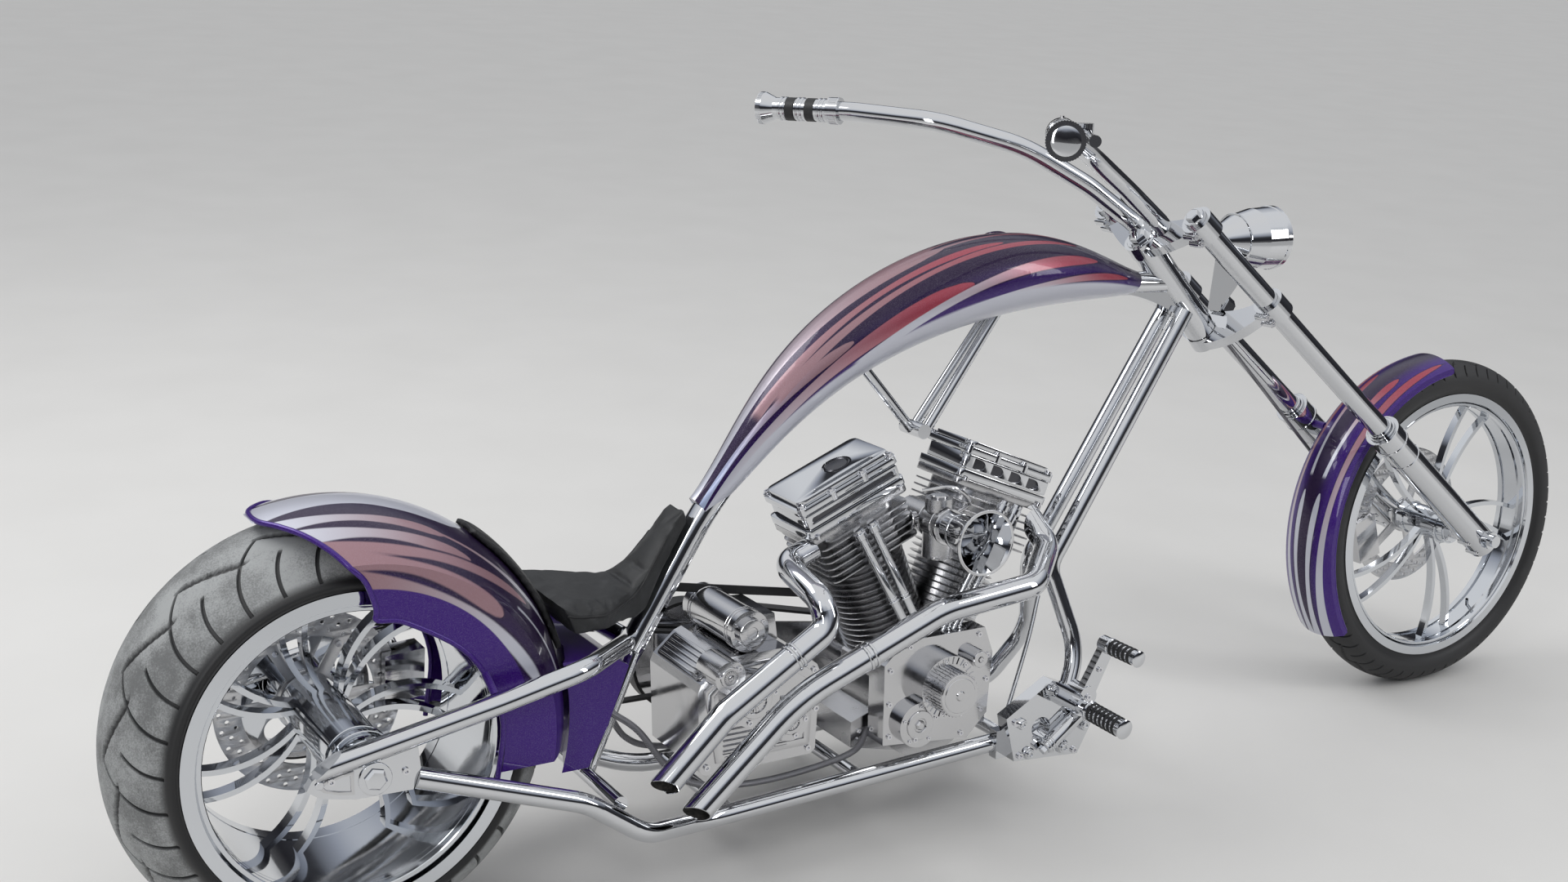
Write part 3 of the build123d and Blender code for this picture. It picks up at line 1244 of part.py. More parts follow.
def side_stand():
    pivot, ankle, axis = Vector(*STAND_PIVOT), stand_ankle(), stand_axis()
    run = (ankle - pivot).normalized()
    body = rod(tuple(pivot + run * 10), tuple(ankle), STAND_D)
    body += rod(tuple(pivot - axis * STAND_EYE / 2), tuple(pivot + axis * STAND_EYE / 2), 2 * STAND_EYE_R)
    drop = STAND_FOOT_THICK + STAND_D * 0.4
    base = (Align.CENTER, Align.CENTER, Align.MIN)
    ground = Pos(*ankle) * Rot(LEAN, 0, 0) * Pos(0, 0, -drop)
    body += ground * (Cylinder(STAND_FOOT_R, STAND_FOOT_THICK, align=base)
                      + Cylinder(STAND_D / 2 + 2, drop + STAND_D / 2, align=base))
    bore = 2 * (STAND_PIN_R + STAND_RUN)
    return body - rod(tuple(pivot - axis * 40), tuple(pivot + axis * 40), bore)


UPRIGHT = {
    "frame_backbone": frame_backbone,
    "head_bearings": head_bearings,
    "down_tubes": down_tubes,
    "lower_rails": lower_rails,
    "upper_rails": upper_rails,
    "seat_posts": seat_posts,
    "axle_plate_left": lambda: axle_plate(1),
    "axle_plate_right": lambda: axle_plate(-1),
    "motor_struts": motor_struts,
    "fuel_tank": fuel_tank,
    "seat": seat,
    "tail_pad": tail_pad,
    "rear_fender": rear_fender,
    "oil_tank": oil_tank,
    "crankcase": crankcase,
    "cam_cover": cam_cover,
    "cylinder_rear": lambda: vee_cylinder(-1),
    "cylinder_front": lambda: vee_cylinder(1),
    "rocker_box_rear": lambda: rocker_box(-1),
    "rocker_box_front": lambda: rocker_box(1),
    "pushrod_tubes": pushrod_tubes,
    "carburettor": carburettor,
    "intake_trumpet": intake_trumpet,
    "exhaust_rear": exhaust_rear,
    "exhaust_front": exhaust_front,
    "transmission": transmission,
    "starter_motor": starter_motor,
    "primary_drive": primary_drive,
    "primary_belt": primary_belt,
    "final_belt": final_belt,
    "rear_axle": rear_axle,
    "rear_caliper": rear_caliper,
    "foot_control_left": lambda: foot_control(1),
    "foot_control_right": lambda: foot_control(-1),
    "top_yoke": top_yoke,
    "lower_yoke": lower_yoke,
    "fork_leg_left": lambda: fork_leg(1),
    "fork_leg_right": lambda: fork_leg(-1),
    "handlebar_left": lambda: handlebar(1),
    "handlebar_right": lambda: handlebar(-1),
    "grip_left": lambda: grip(1),
    "grip_right": lambda: grip(-1),
    "brake_lever": brake_lever,
    "headlight": headlight,
    "front_fender": front_fender,
    "front_axle": front_axle,
    "front_caliper": front_caliper,
    "brake_line": brake_line,
    "front_tyre": lambda: tyre(FRONT_TYRE_R, FRONT_TYRE_HALF, FRONT_CROWN_R, FRONT_SHOULDER_Y, FRONT_WALL,
                               FRONT_FLANGE_R, FRONT_BEAD_R, FRONT_RIM_HALF, WHEELBASE, FRONT_Z),
    "front_rim": front_rim,
    "front_disc": front_disc,
    "rear_tyre": lambda: tyre(REAR_TYRE_R, REAR_TYRE_HALF, REAR_CROWN_R, REAR_SHOULDER_Y, REAR_WALL,
                              REAR_FLANGE_R, REAR_BEAD_R, REAR_RIM_HALF, 0, REAR_Z),
    "rear_rim": rear_rim,
    "rear_pulley": rear_pulley,
    "rear_disc": rear_disc,
    "side_stand": side_stand,
}

os.makedirs("parts", exist_ok=True)
for name, make in UPRIGHT.items():
    export_step(lean(make()), f"parts/{name}.step")
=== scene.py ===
# %% [markdown]
# # Dressing a long, low custom motorcycle
# The machine is a real one of steel, chrome plate and candy paint: a raked fork, a wide rear
# tyre, an open V-twin and an open primary belt. Its exact solids come packed as a fixed frame.
# This lesson adds what a photograph shows on top of them: finishes, tread, fins, screws,
# a welted seat and a lamp. Every piece is drawn upright in millimetres, as a workshop
# drawing is, and one matrix then leans it onto its side stand with the rest.

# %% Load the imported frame
import json
import math
from contextlib import contextmanager
import bmesh
import bpy
from mathutils import Matrix, Vector
from mathutils.bvhtree import BVHTree


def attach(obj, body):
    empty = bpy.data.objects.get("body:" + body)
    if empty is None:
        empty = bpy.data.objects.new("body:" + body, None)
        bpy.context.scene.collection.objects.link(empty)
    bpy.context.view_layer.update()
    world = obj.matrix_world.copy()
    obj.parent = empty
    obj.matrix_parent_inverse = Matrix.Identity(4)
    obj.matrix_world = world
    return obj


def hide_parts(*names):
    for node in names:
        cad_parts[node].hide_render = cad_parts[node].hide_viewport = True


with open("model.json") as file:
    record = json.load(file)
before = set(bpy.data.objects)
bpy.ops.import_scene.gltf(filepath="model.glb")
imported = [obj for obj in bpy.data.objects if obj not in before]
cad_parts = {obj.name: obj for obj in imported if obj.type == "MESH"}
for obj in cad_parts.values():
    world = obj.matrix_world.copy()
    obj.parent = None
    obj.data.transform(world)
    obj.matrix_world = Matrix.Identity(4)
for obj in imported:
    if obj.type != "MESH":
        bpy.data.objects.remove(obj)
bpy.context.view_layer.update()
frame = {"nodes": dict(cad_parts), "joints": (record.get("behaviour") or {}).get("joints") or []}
joints = {joint["name"]: joint for joint in frame["joints"]}

# %% [markdown]
# The rear wheel's joint tells where its axle really is. From it comes the matrix that carries
# an upright drawing to the parked, leaning machine, and the one that lays a point back again.

# %% Carry the drawing to the parked machine
MM_PER_M = 1000.0
LEAN = math.radians(6.0)
AXLE_DRAWN = 0.333              # height of the rear axle in the upright drawing, in metres
rear_axle = Vector(joints["rear_wheel_spin"]["pos_m"])
PARK = (Matrix.Translation(rear_axle) @ Matrix.Rotation(-LEAN, 4, "X")
        @ Matrix.Translation((0, 0, -AXLE_DRAWN)))
STAND = PARK @ Matrix.Scale(1 / MM_PER_M, 4)
DRAWN = STAND.inverted()
UPRIGHT = PARK.inverted()
REAR_AXLE = (0.0, 0.0, AXLE_DRAWN * MM_PER_M)
FRONT_AXLE = tuple(UPRIGHT @ Vector(joints["front_wheel_spin"]["pos_m"]) * MM_PER_M)
print("front axle, upright", [round(v, 1) for v in FRONT_AXLE])

# %% [markdown]
# ## Camera and light
# The photographer stood behind the machine on its right, at head height. The lens and the
# angles were solved from the wheels and the frame, so the camera is simply set down there.

# %% Set up the camera
CAMERA_PLACE = (-1.87114, -2.50050, 1.63811)
CAMERA_TURN = math.radians(59.1431)     # from straight ahead towards the machine's left
CAMERA_DIP = math.radians(18.5315)
CAMERA_ROLL = math.radians(4.0167)
LENS, SENSOR = 41.837, 36.0             # in millimetres


def put(name, data):
    """A new object in the scene."""
    thing = bpy.data.objects.new(name, data)
    bpy.context.scene.collection.objects.link(thing)
    return thing


look = Vector((math.cos(CAMERA_TURN) * math.cos(CAMERA_DIP), math.sin(CAMERA_TURN) * math.cos(CAMERA_DIP),
               -math.sin(CAMERA_DIP)))
level_right = look.cross(Vector((0, 0, 1))).normalized()
level_up = level_right.cross(look)
right = level_right * math.cos(CAMERA_ROLL) + level_up * math.sin(CAMERA_ROLL)
up = level_up * math.cos(CAMERA_ROLL) - level_right * math.sin(CAMERA_ROLL)
camera_data = bpy.data.cameras.new("camera")
camera_data.lens, camera_data.sensor_width = LENS, SENSOR
camera = put("camera", camera_data)
camera.matrix_world = Matrix.Translation(CAMERA_PLACE) @ Matrix((right, up, -look)).transposed().to_4x4()
bpy.context.scene.camera = camera
bpy.context.scene.view_settings.view_transform = "Standard"
print("camera looks along", [round(v, 3) for v in look])

# %% [markdown]
# Chrome has no colour of its own: it shows the room. A plain white room would make it look like
# grey plastic, so the world runs from a pale sky through a darker band at the horizon, and a
# slow noise breaks up the band. Small helpers keep the node code short: `place` puts one node in
# a tree, and `Number` lets the numbers in a tree be added and compared as in any program.

# %% Helpers for node trees
def plug(tree, socket, value):
    """Give a socket a plain value, or a link from a node, a socket or a Number."""
    if isinstance(value, Number):
        value = value.socket
    if isinstance(value, bpy.types.Node):
        value = value.outputs[0]
    if isinstance(value, bpy.types.NodeSocket):
        tree.links.new(value, socket)
    else:
        socket.default_value = value


def place(tree, kind, inputs=None, **settings):
    """Put one node in a tree: its settings first, then its inputs by name or number."""
    node = tree.nodes.new(kind)
    for name, value in settings.items():
        setattr(node, name, value)
    for key, value in (inputs or {}).items():
        plug(tree, node.inputs[key], value)
    return node


class Number:
    """A number in a node tree. Each sign between two of them places one Math node."""

    def __init__(self, tree, socket):
        self.tree = tree
        self.socket = socket

    def math(self, operation, *others):
        inputs = dict(enumerate((self,) + others))
        return Number(self.tree, place(self.tree, "ShaderNodeMath", inputs, operation=operation).outputs[0])

    def __add__(self, other):
        return self.math("ADD", other)

    def __sub__(self, other):
        return self.math("SUBTRACT", other)

    def __mul__(self, other):
        return self.math("MULTIPLY", other)

    def __truediv__(self, other):
        return self.math("DIVIDE", other)

    def size(self):
        return self.math("ABSOLUTE")

    def mapped(self, labels, low, high, **settings):
        inputs = {"Value": self, f"{labels} Min": low, f"{labels} Max": high}
        return Number(self.tree, place(self.tree, "ShaderNodeMapRange", inputs, **settings).outputs["Result"])

    def step(self, low, high):
        """0 below low, 1 above high, and smooth between them; low may be the larger."""
        return self.mapped("From", low, high, interpolation_type="SMOOTHSTEP")

    def between(self, low, high):
        """Runs evenly from low to high as this number goes from 0 to 1."""
        return self.mapped("To", low, high)


def split(tree, vector):
    """The three numbers of a vector."""
    return [Number(tree, socket) for socket in place(tree, "ShaderNodeSeparateXYZ", {0: vector}).outputs]


def distance(x, z):
    return (x * x + z * z).math("SQRT")


def noise(tree, where, scale, detail, roughness=0.5):
    """Clouds between 0 and 1."""
    inputs = {"Vector": where, "Scale": scale, "Detail": detail, "Roughness": roughness}
    return Number(tree, place(tree, "ShaderNodeTexNoise", inputs).outputs["Fac"])


def ramp(tree, value, stops):
    """A colour ramp from (place, colour) pairs."""
    node = place(tree, "ShaderNodeValToRGB", {"Fac": value})
    marks = node.color_ramp.elements
    while len(marks) < len(stops):
        marks.new(0.5)
    for mark, (where, colour) in zip(marks, stops):
        mark.position = where
        mark.color = (*colour, 1.0)
    return node.outputs["Color"]


def mix(tree, share, first, second):
    """Blend two colours or colour sockets."""
    node = place(tree, "ShaderNodeMix", {"Factor": share}, data_type="RGBA")
    for number, value in ((6, first), (7, second)):
        plug(tree, node.inputs[number], (*value, 1.0) if isinstance(value, tuple) else value)
    return node.outputs[2]


print("helpers ready")

# %% Paint the world
SKY = [(0.0, (0.40, 0.39, 0.38)), (0.48, (0.12, 0.12, 0.125)), (0.55, (0.025, 0.025, 0.03)),
       (0.64, (0.05, 0.052, 0.06)), (0.70, (0.42, 0.45, 0.52)), (0.80, (0.95, 0.97, 1.0)),
       (1.0, (1.0, 1.0, 1.0))]
SKY_STRENGTH = 0.86
BAND_SCALE, BAND_SWAY = 1.7, 0.16       # the noise that moves the sky's bands up and down

world = bpy.data.worlds.new("studio")
bpy.context.scene.world = world
world.use_nodes = True
sky = world.node_tree
direction = place(sky, "ShaderNodeTexCoord").outputs["Generated"]
height = split(sky, direction)[2] * 0.5 + 0.5
height = height + (noise(sky, direction, BAND_SCALE, 1.0) - 0.5) * BAND_SWAY
background = sky.nodes["Background"].inputs
plug(sky, background["Color"], ramp(sky, height, SKY))
background["Strength"].default_value = SKY_STRENGTH
print("sky stops", len(SKY))

# %% Hang the lamps
# name, place, aimed at, width, height, watts
LAMPS = [
    ("key", (-2.6, 1.6, 3.6), (0.0, 0.0, 0.5), 2.6, 1.4, 62.0),
    ("front_strip", (2.8, -2.6, 2.6), (0.3, 0.0, 0.5), 0.7, 2.6, 36.0),
    ("rear_strip", (-3.4, -2.2, 2.0), (-0.9, 0.0, 0.5), 0.5, 2.2, 22.0),
]
for lamp_name, lamp_place, aim, wide, high, watts in LAMPS:
    lamp = bpy.data.lights.new(lamp_name, "AREA")
    lamp.shape, lamp.size, lamp.size_y, lamp.energy = "RECTANGLE", wide, high, watts
    away = (Vector(lamp_place) - Vector(aim)).to_track_quat("Z", "Y")
    put(lamp_name, lamp).matrix_world = Matrix.Translation(lamp_place) @ away.to_matrix().to_4x4()
print("lamps", [row[0] for row in LAMPS])

# %% [markdown]
# ## Finishes
# Each finish is one material. It reads the place on the machine, laid back upright, so a pattern
# sits the same on every piece and stays with its piece when that turns. Effects that several
# finishes share, such as polishing marks or dust, are small node groups with named inputs.

# %% A group and a finish, ready to fill
def node_group(name, inputs, outputs=("Geometry",), kind="ShaderNodeTree"):
    """A node group with its input and output sockets.

    An input is given with its default number, or with its type where it has none.
    """
    tree = bpy.data.node_groups.new(name, kind)
    for label, given in inputs.items():
        kind_of_input = {int: "Int", float: "Float"}.get(type(given), given)
        socket = tree.interface.new_socket(label, in_out="INPUT", socket_type="NodeSocket" + kind_of_input)
        if kind_of_input != given:
            socket.default_value = given
    output_type = "NodeSocketFloat" if kind == "ShaderNodeTree" else "NodeSocketGeometry"
    for label in outputs:
        tree.interface.new_socket(label, in_out="OUTPUT", socket_type=output_type)
    return tree, tree.nodes.new("NodeGroupInput").outputs, tree.nodes.new("NodeGroupOutput").inputs


class Finish:
    """A material with its Principled shader, and the upright place on the machine in metres."""

    def __init__(self, name, colour, metallic, roughness, **sockets):
        self.material = bpy.data.materials.new(name)
        self.material.use_nodes = True
        self.tree = self.material.node_tree
        self.inputs = self.tree.nodes["Principled BSDF"].inputs
        plain = {"Base Color": (*colour, 1.0), "Metallic": metallic, "Roughness": roughness, **sockets}
        for label, value in plain.items():
            self.inputs[label.replace("_", " ")].default_value = value
        lay_back = {"Vector": place(self.tree, "ShaderNodeTexCoord").outputs["Object"],
                    "Location": UPRIGHT.to_translation(), "Rotation": UPRIGHT.to_euler()}
        self.where = place(self.tree, "ShaderNodeMapping", lay_back).outputs["Vector"]

    def feed(self, label, value):
        plug(self.tree, self.inputs[label], value)

    def noise(self, *sizes):
        return noise(self.tree, self.where, *sizes)

    def group(self, tree, inputs):
        return place(self.tree, "ShaderNodeGroup", inputs, node_tree=tree).outputs

    def from_axle(self, axle):
        """How far a point is from an axle, in metres."""
        x, _, z = split(self.tree, self.where)
        return distance(x - axle[0] / MM_PER_M, z - axle[2] / MM_PER_M)

    def relief(self, height, strength, depth):
        """Bump from a height, with its depth in metres."""
        bump = place(self.tree, "ShaderNodeBump", {"Height": height, "Strength": strength, "Distance": depth})
        self.feed("Normal", bump.outputs["Normal"])


print("finish helpers ready")

# %% Polishing marks, shared by every bright metal
polish_marks, polish_in, polish_out = node_group(
    "polish_marks", {"Vector": "Vector", "Low": 0.03, "High": 0.1}, ("Roughness", "Height"))
WIPE_STRETCH = (60.0, 900.0, 420.0)     # the cloth went along the machine, so its marks are long
wipes = place(polish_marks, "ShaderNodeMapping", {"Vector": polish_in["Vector"], "Scale": WIPE_STRETCH})
smears = noise(polish_marks, polish_in["Vector"], 14.0, 4.0, 0.6).step(0.42, 0.72)
plug(polish_marks, polish_out["Roughness"], smears.between(polish_in["Low"], polish_in["High"]))
plug(polish_marks, polish_out["Height"], noise(polish_marks, wipes, 1.0, 2.0))
print("group", polish_marks.name)

# %% Road dust, shared by rubber and belts
road_dust, dust_in, dust_out = node_group(
    "road_dust", {"Vector": "Vector", "Scale": 9.0, "Cover": 0.5}, ("Mask",))
clouds = noise(road_dust, dust_in["Vector"], dust_in["Scale"], 6.0, 0.65)
specks = noise(road_dust, dust_in["Vector"], 420.0, 2.0)
bare_below = Number(road_dust, dust_in["Cover"]) * -0.6 + 0.75
plug(road_dust, dust_out["Mask"], (clouds * 0.75 + specks * 0.25).step(bare_below, bare_below + 0.22))
print("group", road_dust.name)

# %% [markdown]
# Chrome plate is a mirror with the faintest warm and cool drift, and polished alloy is softer and
# a little warmer, with cast grain left in its hollows. Both get their roughness from the shared marks.

# %% Bright metals
def bright_metal(name, colour, low, high, relief, grain=0.0):
    finish = Finish(name, colour, 1.0, low)
    marks = finish.group(polish_marks, {"Vector": finish.where, "Low": low, "High": high})
    finish.feed("Roughness", marks["Roughness"])
    height = Number(finish.tree, marks["Height"])
    if grain:
        height = height + finish.noise(900.0, 3.0) * grain
    finish.relief(height, relief, 0.0004)
    return finish.material


# name, colour, roughness where clean and where smeared, and how deep the relief shows
chrome = bright_metal("chrome_plate", (0.66, 0.67, 0.69), 0.025, 0.075, 0.02)
chrome_deep = bright_metal("polished_rim", (0.64, 0.66, 0.69), 0.04, 0.10, 0.03)
alloy = bright_metal("polished_alloy", (0.60, 0.60, 0.61), 0.08, 0.20, 0.10)
cast_alloy = bright_metal("cast_alloy", (0.52, 0.52, 0.53), 0.17, 0.32, 0.30, grain=1.4)
screw_steel = bright_metal("screw_steel", (0.72, 0.72, 0.74), 0.10, 0.22, 0.05)
# dark steel for the medallions, and for the painted shade behind the rocker windows
dark_steel_and_shade = bright_metal("dark_steel_and_shade", (0.10, 0.10, 0.11), 0.25, 0.42, 0.10)
print("bright metals ready")

# %% [markdown]
# Brake discs and machined hubs are turned on a lathe, so their fine lines run in rings about the
# axle. The distance from the axle, fed to a wave, gives those rings as relief.

# %% Turned steel
RINGS = 5200.0                  # radians of the wave for each metre outwards


def turned_steel(name, axle):
    finish = Finish(name, (0.62, 0.62, 0.63), 1.0, 0.26)
    lines = (finish.from_axle(axle) * RINGS + finish.noise(60.0, 3.0) * 3.0).math("SINE")
    finish.relief(lines, 0.08, 0.0003)
    finish.feed("Roughness", lines.step(-1.0, 1.0).between(0.2, 0.34))
    return finish.material


rear_disc_steel = turned_steel("rear_disc_steel", REAR_AXLE)
front_disc_steel = turned_steel("front_disc_steel", FRONT_AXLE)
print("turned steel ready")

# %% [markdown]
# ## Flames in candy paint
# A flame job is masked by hand: long licks grow from one root, narrow to a neck and end in a
# round drop. The painted pieces are all bent round something, so a group first turns a place
# into two numbers: how far along the hoop it is, and how far round the hoop's own line. In those
# numbers a lick is a bowed lane with a soft outline, and each row of a table masks one lick, as
# the painter's tape does. Both sides of the machine read the same rows, so they match.

# %% Along and around a hoop
FULL_TURN = 2 * math.pi
TURN_START = -1.5               # the angle at which a full turn begins, clear of all painted pieces

hoop, hoop_in, hoop_out = node_group(
    "hoop_place", {"Vector": "Vector", "Centre X": 0.0, "Centre Z": 0.0, "Hoop": 0.3},
    ("Along", "Around", "Radius"))
hoop_x, hoop_y, hoop_z = split(hoop, hoop_in["Vector"])
hoop_x, hoop_z = hoop_x - hoop_in["Centre X"], hoop_z - hoop_in["Centre Z"]
hoop_radius = distance(hoop_x, hoop_z)
plug(hoop, hoop_out["Along"], hoop_z.math("ARCTAN2", hoop_x).math("WRAP", TURN_START + FULL_TURN, TURN_START))
plug(hoop, hoop_out["Around"], hoop_y.size().math("ARCTAN2", hoop_radius - hoop_in["Hoop"]))
plug(hoop, hoop_out["Radius"], hoop_radius)
print("group", hoop.name)

# %% One lick
# share of a lick's length, and its width there as a share of the drop's width
DROP_SHAPE = [(0.0, 0.45), (0.3, 0.45), (0.5, 0.55), (0.72, 0.9), (0.86, 1.0), (0.95, 0.72), (0.985, 0.4),
              (1.0, 0.0)]
LINE = 0.035                    # half width of the dark outline, in radians around the hoop
SOFT = 0.012                    # half width of the paint's soft edge, in the same measure

lick, lick_in, lick_out = node_group(
    "flame_lick", {"Along": 0.0, "Around": 0.0, "Start": 0.0, "End": 1.0, "Start Around": 0.5, "Bow": 0.0,
                   "End Around": 0.5, "Width": 0.1, "Root": 0.2}, ("Lick", "Line", "Share"))
start = Number(lick, lick_in["Start"])
raw_share = (Number(lick, lick_in["Along"]) - start) / (Number(lick, lick_in["End"]) - start)
share = raw_share.math("MINIMUM", 1.0).math("MAXIMUM", 0.0)
rest = share * -1.0 + 1.0
lane = share.between(lick_in["Start Around"], lick_in["End Around"]) + share * rest * 4.0 * lick_in["Bow"]
outline = place(lick, "ShaderNodeFloatCurve", {"Value": share})
curve_points = outline.mapping.curves[0].points
while len(curve_points) < len(DROP_SHAPE):
    curve_points.new(0.5, 0.5)
for point, spot in zip(curve_points, DROP_SHAPE):
    point.location = spot
outline.mapping.update()
half_wide = Number(lick, outline.outputs["Value"]) * lick_in["Width"] + rest * rest * rest * lick_in["Root"]
inside = half_wide - (Number(lick, lick_in["Around"]) - lane).size()
on_lick = raw_share.step(-0.02, 0.02) * raw_share.step(1.0, 0.997)
on_line = inside.size().step(LINE, LINE * 0.5) * raw_share.step(0.35, 0.6) * raw_share.step(1.02, 1.0)
plug(lick, lick_out["Lick"], inside.step(-SOFT, SOFT) * on_lick)
plug(lick, lick_out["Line"], on_line)
plug(lick, lick_out["Share"], share)
print("group", lick.name)

# %% Candy colours
VIOLET = (0.040, 0.003, 0.185)
# deep violet: painted shade over the crests and upper flanks, and the dark outline of the licks
SHADE_AND_OUTLINE_VIOLET = (0.013, 0.001, 0.034)
ROSE = (0.36, 0.050, 0.080)
MAUVE = (0.33, 0.190, 0.215)
SILVER = (0.58, 0.59, 0.66)
ICE = (0.42, 0.50, 0.72)
GLINT = (0.8, 0.75, 0.9)        # the colour of a flake that catches the light

metal_flake, flake_in, flake_out = node_group(
    "metal_flake", {"Vector": "Vector", "Scale": 2600.0, "Share": 0.14}, ("Sparkle",))
flakes = place(metal_flake, "ShaderNodeTexVoronoi", {
    "Vector": flake_in["Vector"], "Scale": flake_in["Scale"]})
glitter = place(metal_flake, "ShaderNodeSeparateColor", {0: flakes.outputs["Color"]}).outputs[0]
plug(metal_flake, flake_out["Sparkle"], Number(metal_flake, glitter).step(0.78, 1.0) * flake_in["Share"])


def candy_base(name):
    """Clear coat over flake, and how much the flake sparkles."""
    paint = Finish(name, VIOLET, 0.35, 0.34, Coat_Weight=0.5, Coat_Roughness=0.03, Specular_IOR_Level=0.2)
    sparkle = Number(paint.tree, paint.group(metal_flake, {"Vector": paint.where})["Sparkle"])
    paint.feed("Roughness", sparkle.between(0.36, 0.2))
    return paint, sparkle


LICK_COLUMNS = ("Start", "End", "Start Around", "Bow", "End Around", "Width", "Root")
OUTLINE_DEPTH = 0.85            # how far the dark outline covers what lies under it


def flame_paint(name, centre, hoop_radius, rows, dark, bands):
    """Candy paint: painted shade as a dark ground by place around, a lick per row, then bands at the edges.
    """
    paint, sparkle = candy_base(name)
    tree = paint.tree
    at = paint.group(hoop, {"Vector": paint.where, "Centre X": centre[0], "Centre Z": centre[1],
                            "Hoop": hoop_radius})
    along, around = Number(tree, at["Along"]), Number(tree, at["Around"])
    # painted shade: the crest and the upper flanks take the deep violet, the lower flanks the plain violet
    colour = mix(tree, around.step(*dark), SHADE_AND_OUTLINE_VIOLET, VIOLET)
    for *sizes, root_tint, end_tint in rows:
        one = paint.group(lick, {"Along": along, "Around": around, **dict(zip(LICK_COLUMNS, sizes))})
        tint = mix(tree, Number(tree, one["Share"]).step(0.2, 0.9), root_tint, end_tint)
        colour = mix(tree, Number(tree, one["Line"]) * OUTLINE_DEPTH, colour, SHADE_AND_OUTLINE_VIOLET)
        colour = mix(tree, one["Lick"], colour, tint)
    for measure, inner, outer, tint in bands:
        colour = mix(tree, Number(tree, at[measure]).step(inner, outer), colour, tint)
    paint.feed("Base Color", mix(tree, sparkle, colour, GLINT))
    return paint.material


# each row holds the LICK_COLUMNS, then the tints at the root and at the end
REAR_LICKS = [
    (2.00, 0.95, 0.00, 0.00, 0.10, 0.33, 0.25, SILVER, SILVER),
    (2.00, 1.10, 0.46, 0.00, 0.72, 0.070, 0.20, SILVER, MAUVE),
    (2.00, 0.97, 0.72, 0.03, 0.93, 0.070, 0.22, SILVER, MAUVE),
    (2.00, 0.60, 0.92, 0.16, 0.88, 0.055, 0.20, MAUVE, MAUVE),
    (1.95, 0.72, 1.08, 0.03, 1.26, 0.072, 0.16, MAUVE, MAUVE),
    (1.90, 0.24, 1.24, 0.14, 1.28, 0.050, 0.15, MAUVE, SILVER),
    (1.30, 0.42, 0.62, 0.10, 0.70, 0.045, 0.00, MAUVE, SILVER),
    (0.66, 0.10, 1.06, 0.00, 0.92, 0.030, 0.00, SILVER, SILVER),
]
TANK_LICKS = [
    (2.72, 1.80, 0.05, 0.00, 0.15, 0.24, 0.40, SILVER, MAUVE),
    (2.74, 2.10, 0.95, -0.02, 1.22, 0.13, 0.44, ICE, MAUVE),
    (2.74, 1.80, 1.85, -0.06, 1.34, 0.16, 0.40, SILVER, ROSE),
    (2.35, 1.68, 0.72, -0.03, 0.60, 0.085, 0.20, MAUVE, ROSE),
    (2.30, 1.48, 0.98, -0.01, 0.66, 0.070, 0.14, MAUVE, ROSE),
    (2.12, 1.44, 1.80, -0.07, 1.18, 0.115, 0.08, SILVER, ROSE),
    (1.85, 1.33, 1.85, 0.00, 1.50, 0.080, 0.08, SILVER, ROSE),
    (1.95, 1.38, 0.10, 0.00, 0.22, 0.080, 0.05, MAUVE, ROSE),
]
FRONT_LICKS = [
    (3.85, 2.84, 0.12, 0.05, 0.42, 0.13, 0.20, SILVER, SILVER),
    (3.85, 1.745, 0.62, 0.16, 0.92, 0.10, 0.18, SILVER, ROSE),
    (2.75, 2.03, 0.36, 0.02, 0.56, 0.14, 0.02, SILVER, ROSE),
]
REAR_BAND = 0.259               # the violet band starts this far from the axle
TANK_CENTRE = (1.2606, 0.178)   # of the arch that the tank follows
rear_flames = flame_paint("rear_fender_paint", (0.0, AXLE_DRAWN), 0.232, REAR_LICKS, (1.1, 1.9),
                          [("Radius", REAR_BAND, REAR_BAND - 0.002, VIOLET), ("Along", 0.24, 0.20, VIOLET)])
tank_flames = flame_paint("tank_paint", TANK_CENTRE, 0.765, TANK_LICKS, (1.0, 2.1),
                          [("Around", 1.68, 1.76, SILVER)])
front_flames = flame_paint("front_fender_paint", (FRONT_AXLE[0] / MM_PER_M, FRONT_AXLE[2] / MM_PER_M), 0.320,
                           FRONT_LICKS, (0.2, 0.9), [])
print("flame paint ready, licks", len(REAR_LICKS) + len(TANK_LICKS) + len(FRONT_LICKS))

# %% Plain candy for the oil tank
candy, candy_sparkle = candy_base("violet_candy")
candy_depth = mix(candy.tree, candy.noise(6.0, 1.0).step(0.3, 0.8), VIOLET, (0.045, 0.008, 0.2))
candy.feed("Base Color", mix(candy.tree, candy_sparkle, candy_depth, GLINT))
violet_candy = candy.material
print("finish", violet_candy.name)

# %% [markdown]
# ## Rubber, leather and lines
# The rear tyre has rolled through dust, so its crown is a blotchy pale grey; the groove
# floors and the ring beside the rim are kept black. The leather is dark with a fine pebble grain.
# Belts and grip rings are plain rubber with a bloom of dust, and the brake line is woven steel.

# %% Rubber
def rubber(name, clean, dusty, cover, axle=None, black_inside=0.0):
    """Rubber under dust; with an axle, the dust stops at the black ring inside that radius."""
    finish = Finish(name, clean, 0.0, 0.62)
    tree = finish.tree
    dust = Number(tree, finish.group(road_dust, {"Vector": finish.where, "Cover": cover})["Mask"])
    if axle:
        outside = finish.from_axle(axle).step(black_inside, black_inside + 0.012)
        groove = Number(tree, place(tree, "ShaderNodeAttribute", attribute_name="groove").outputs["Fac"])
        # the groove floors stay black, by the depth that the tread tree stored
        dust = dust.between(0.40, 1.0) * outside * (groove * -0.92 + 1.0)
    finish.feed("Base Color", mix(tree, dust, clean, dusty))
    finish.feed("Roughness", dust.between(0.5, 0.8))
    finish.relief(finish.noise(700.0, 4.0), 0.25, 0.0006)
    return finish.material


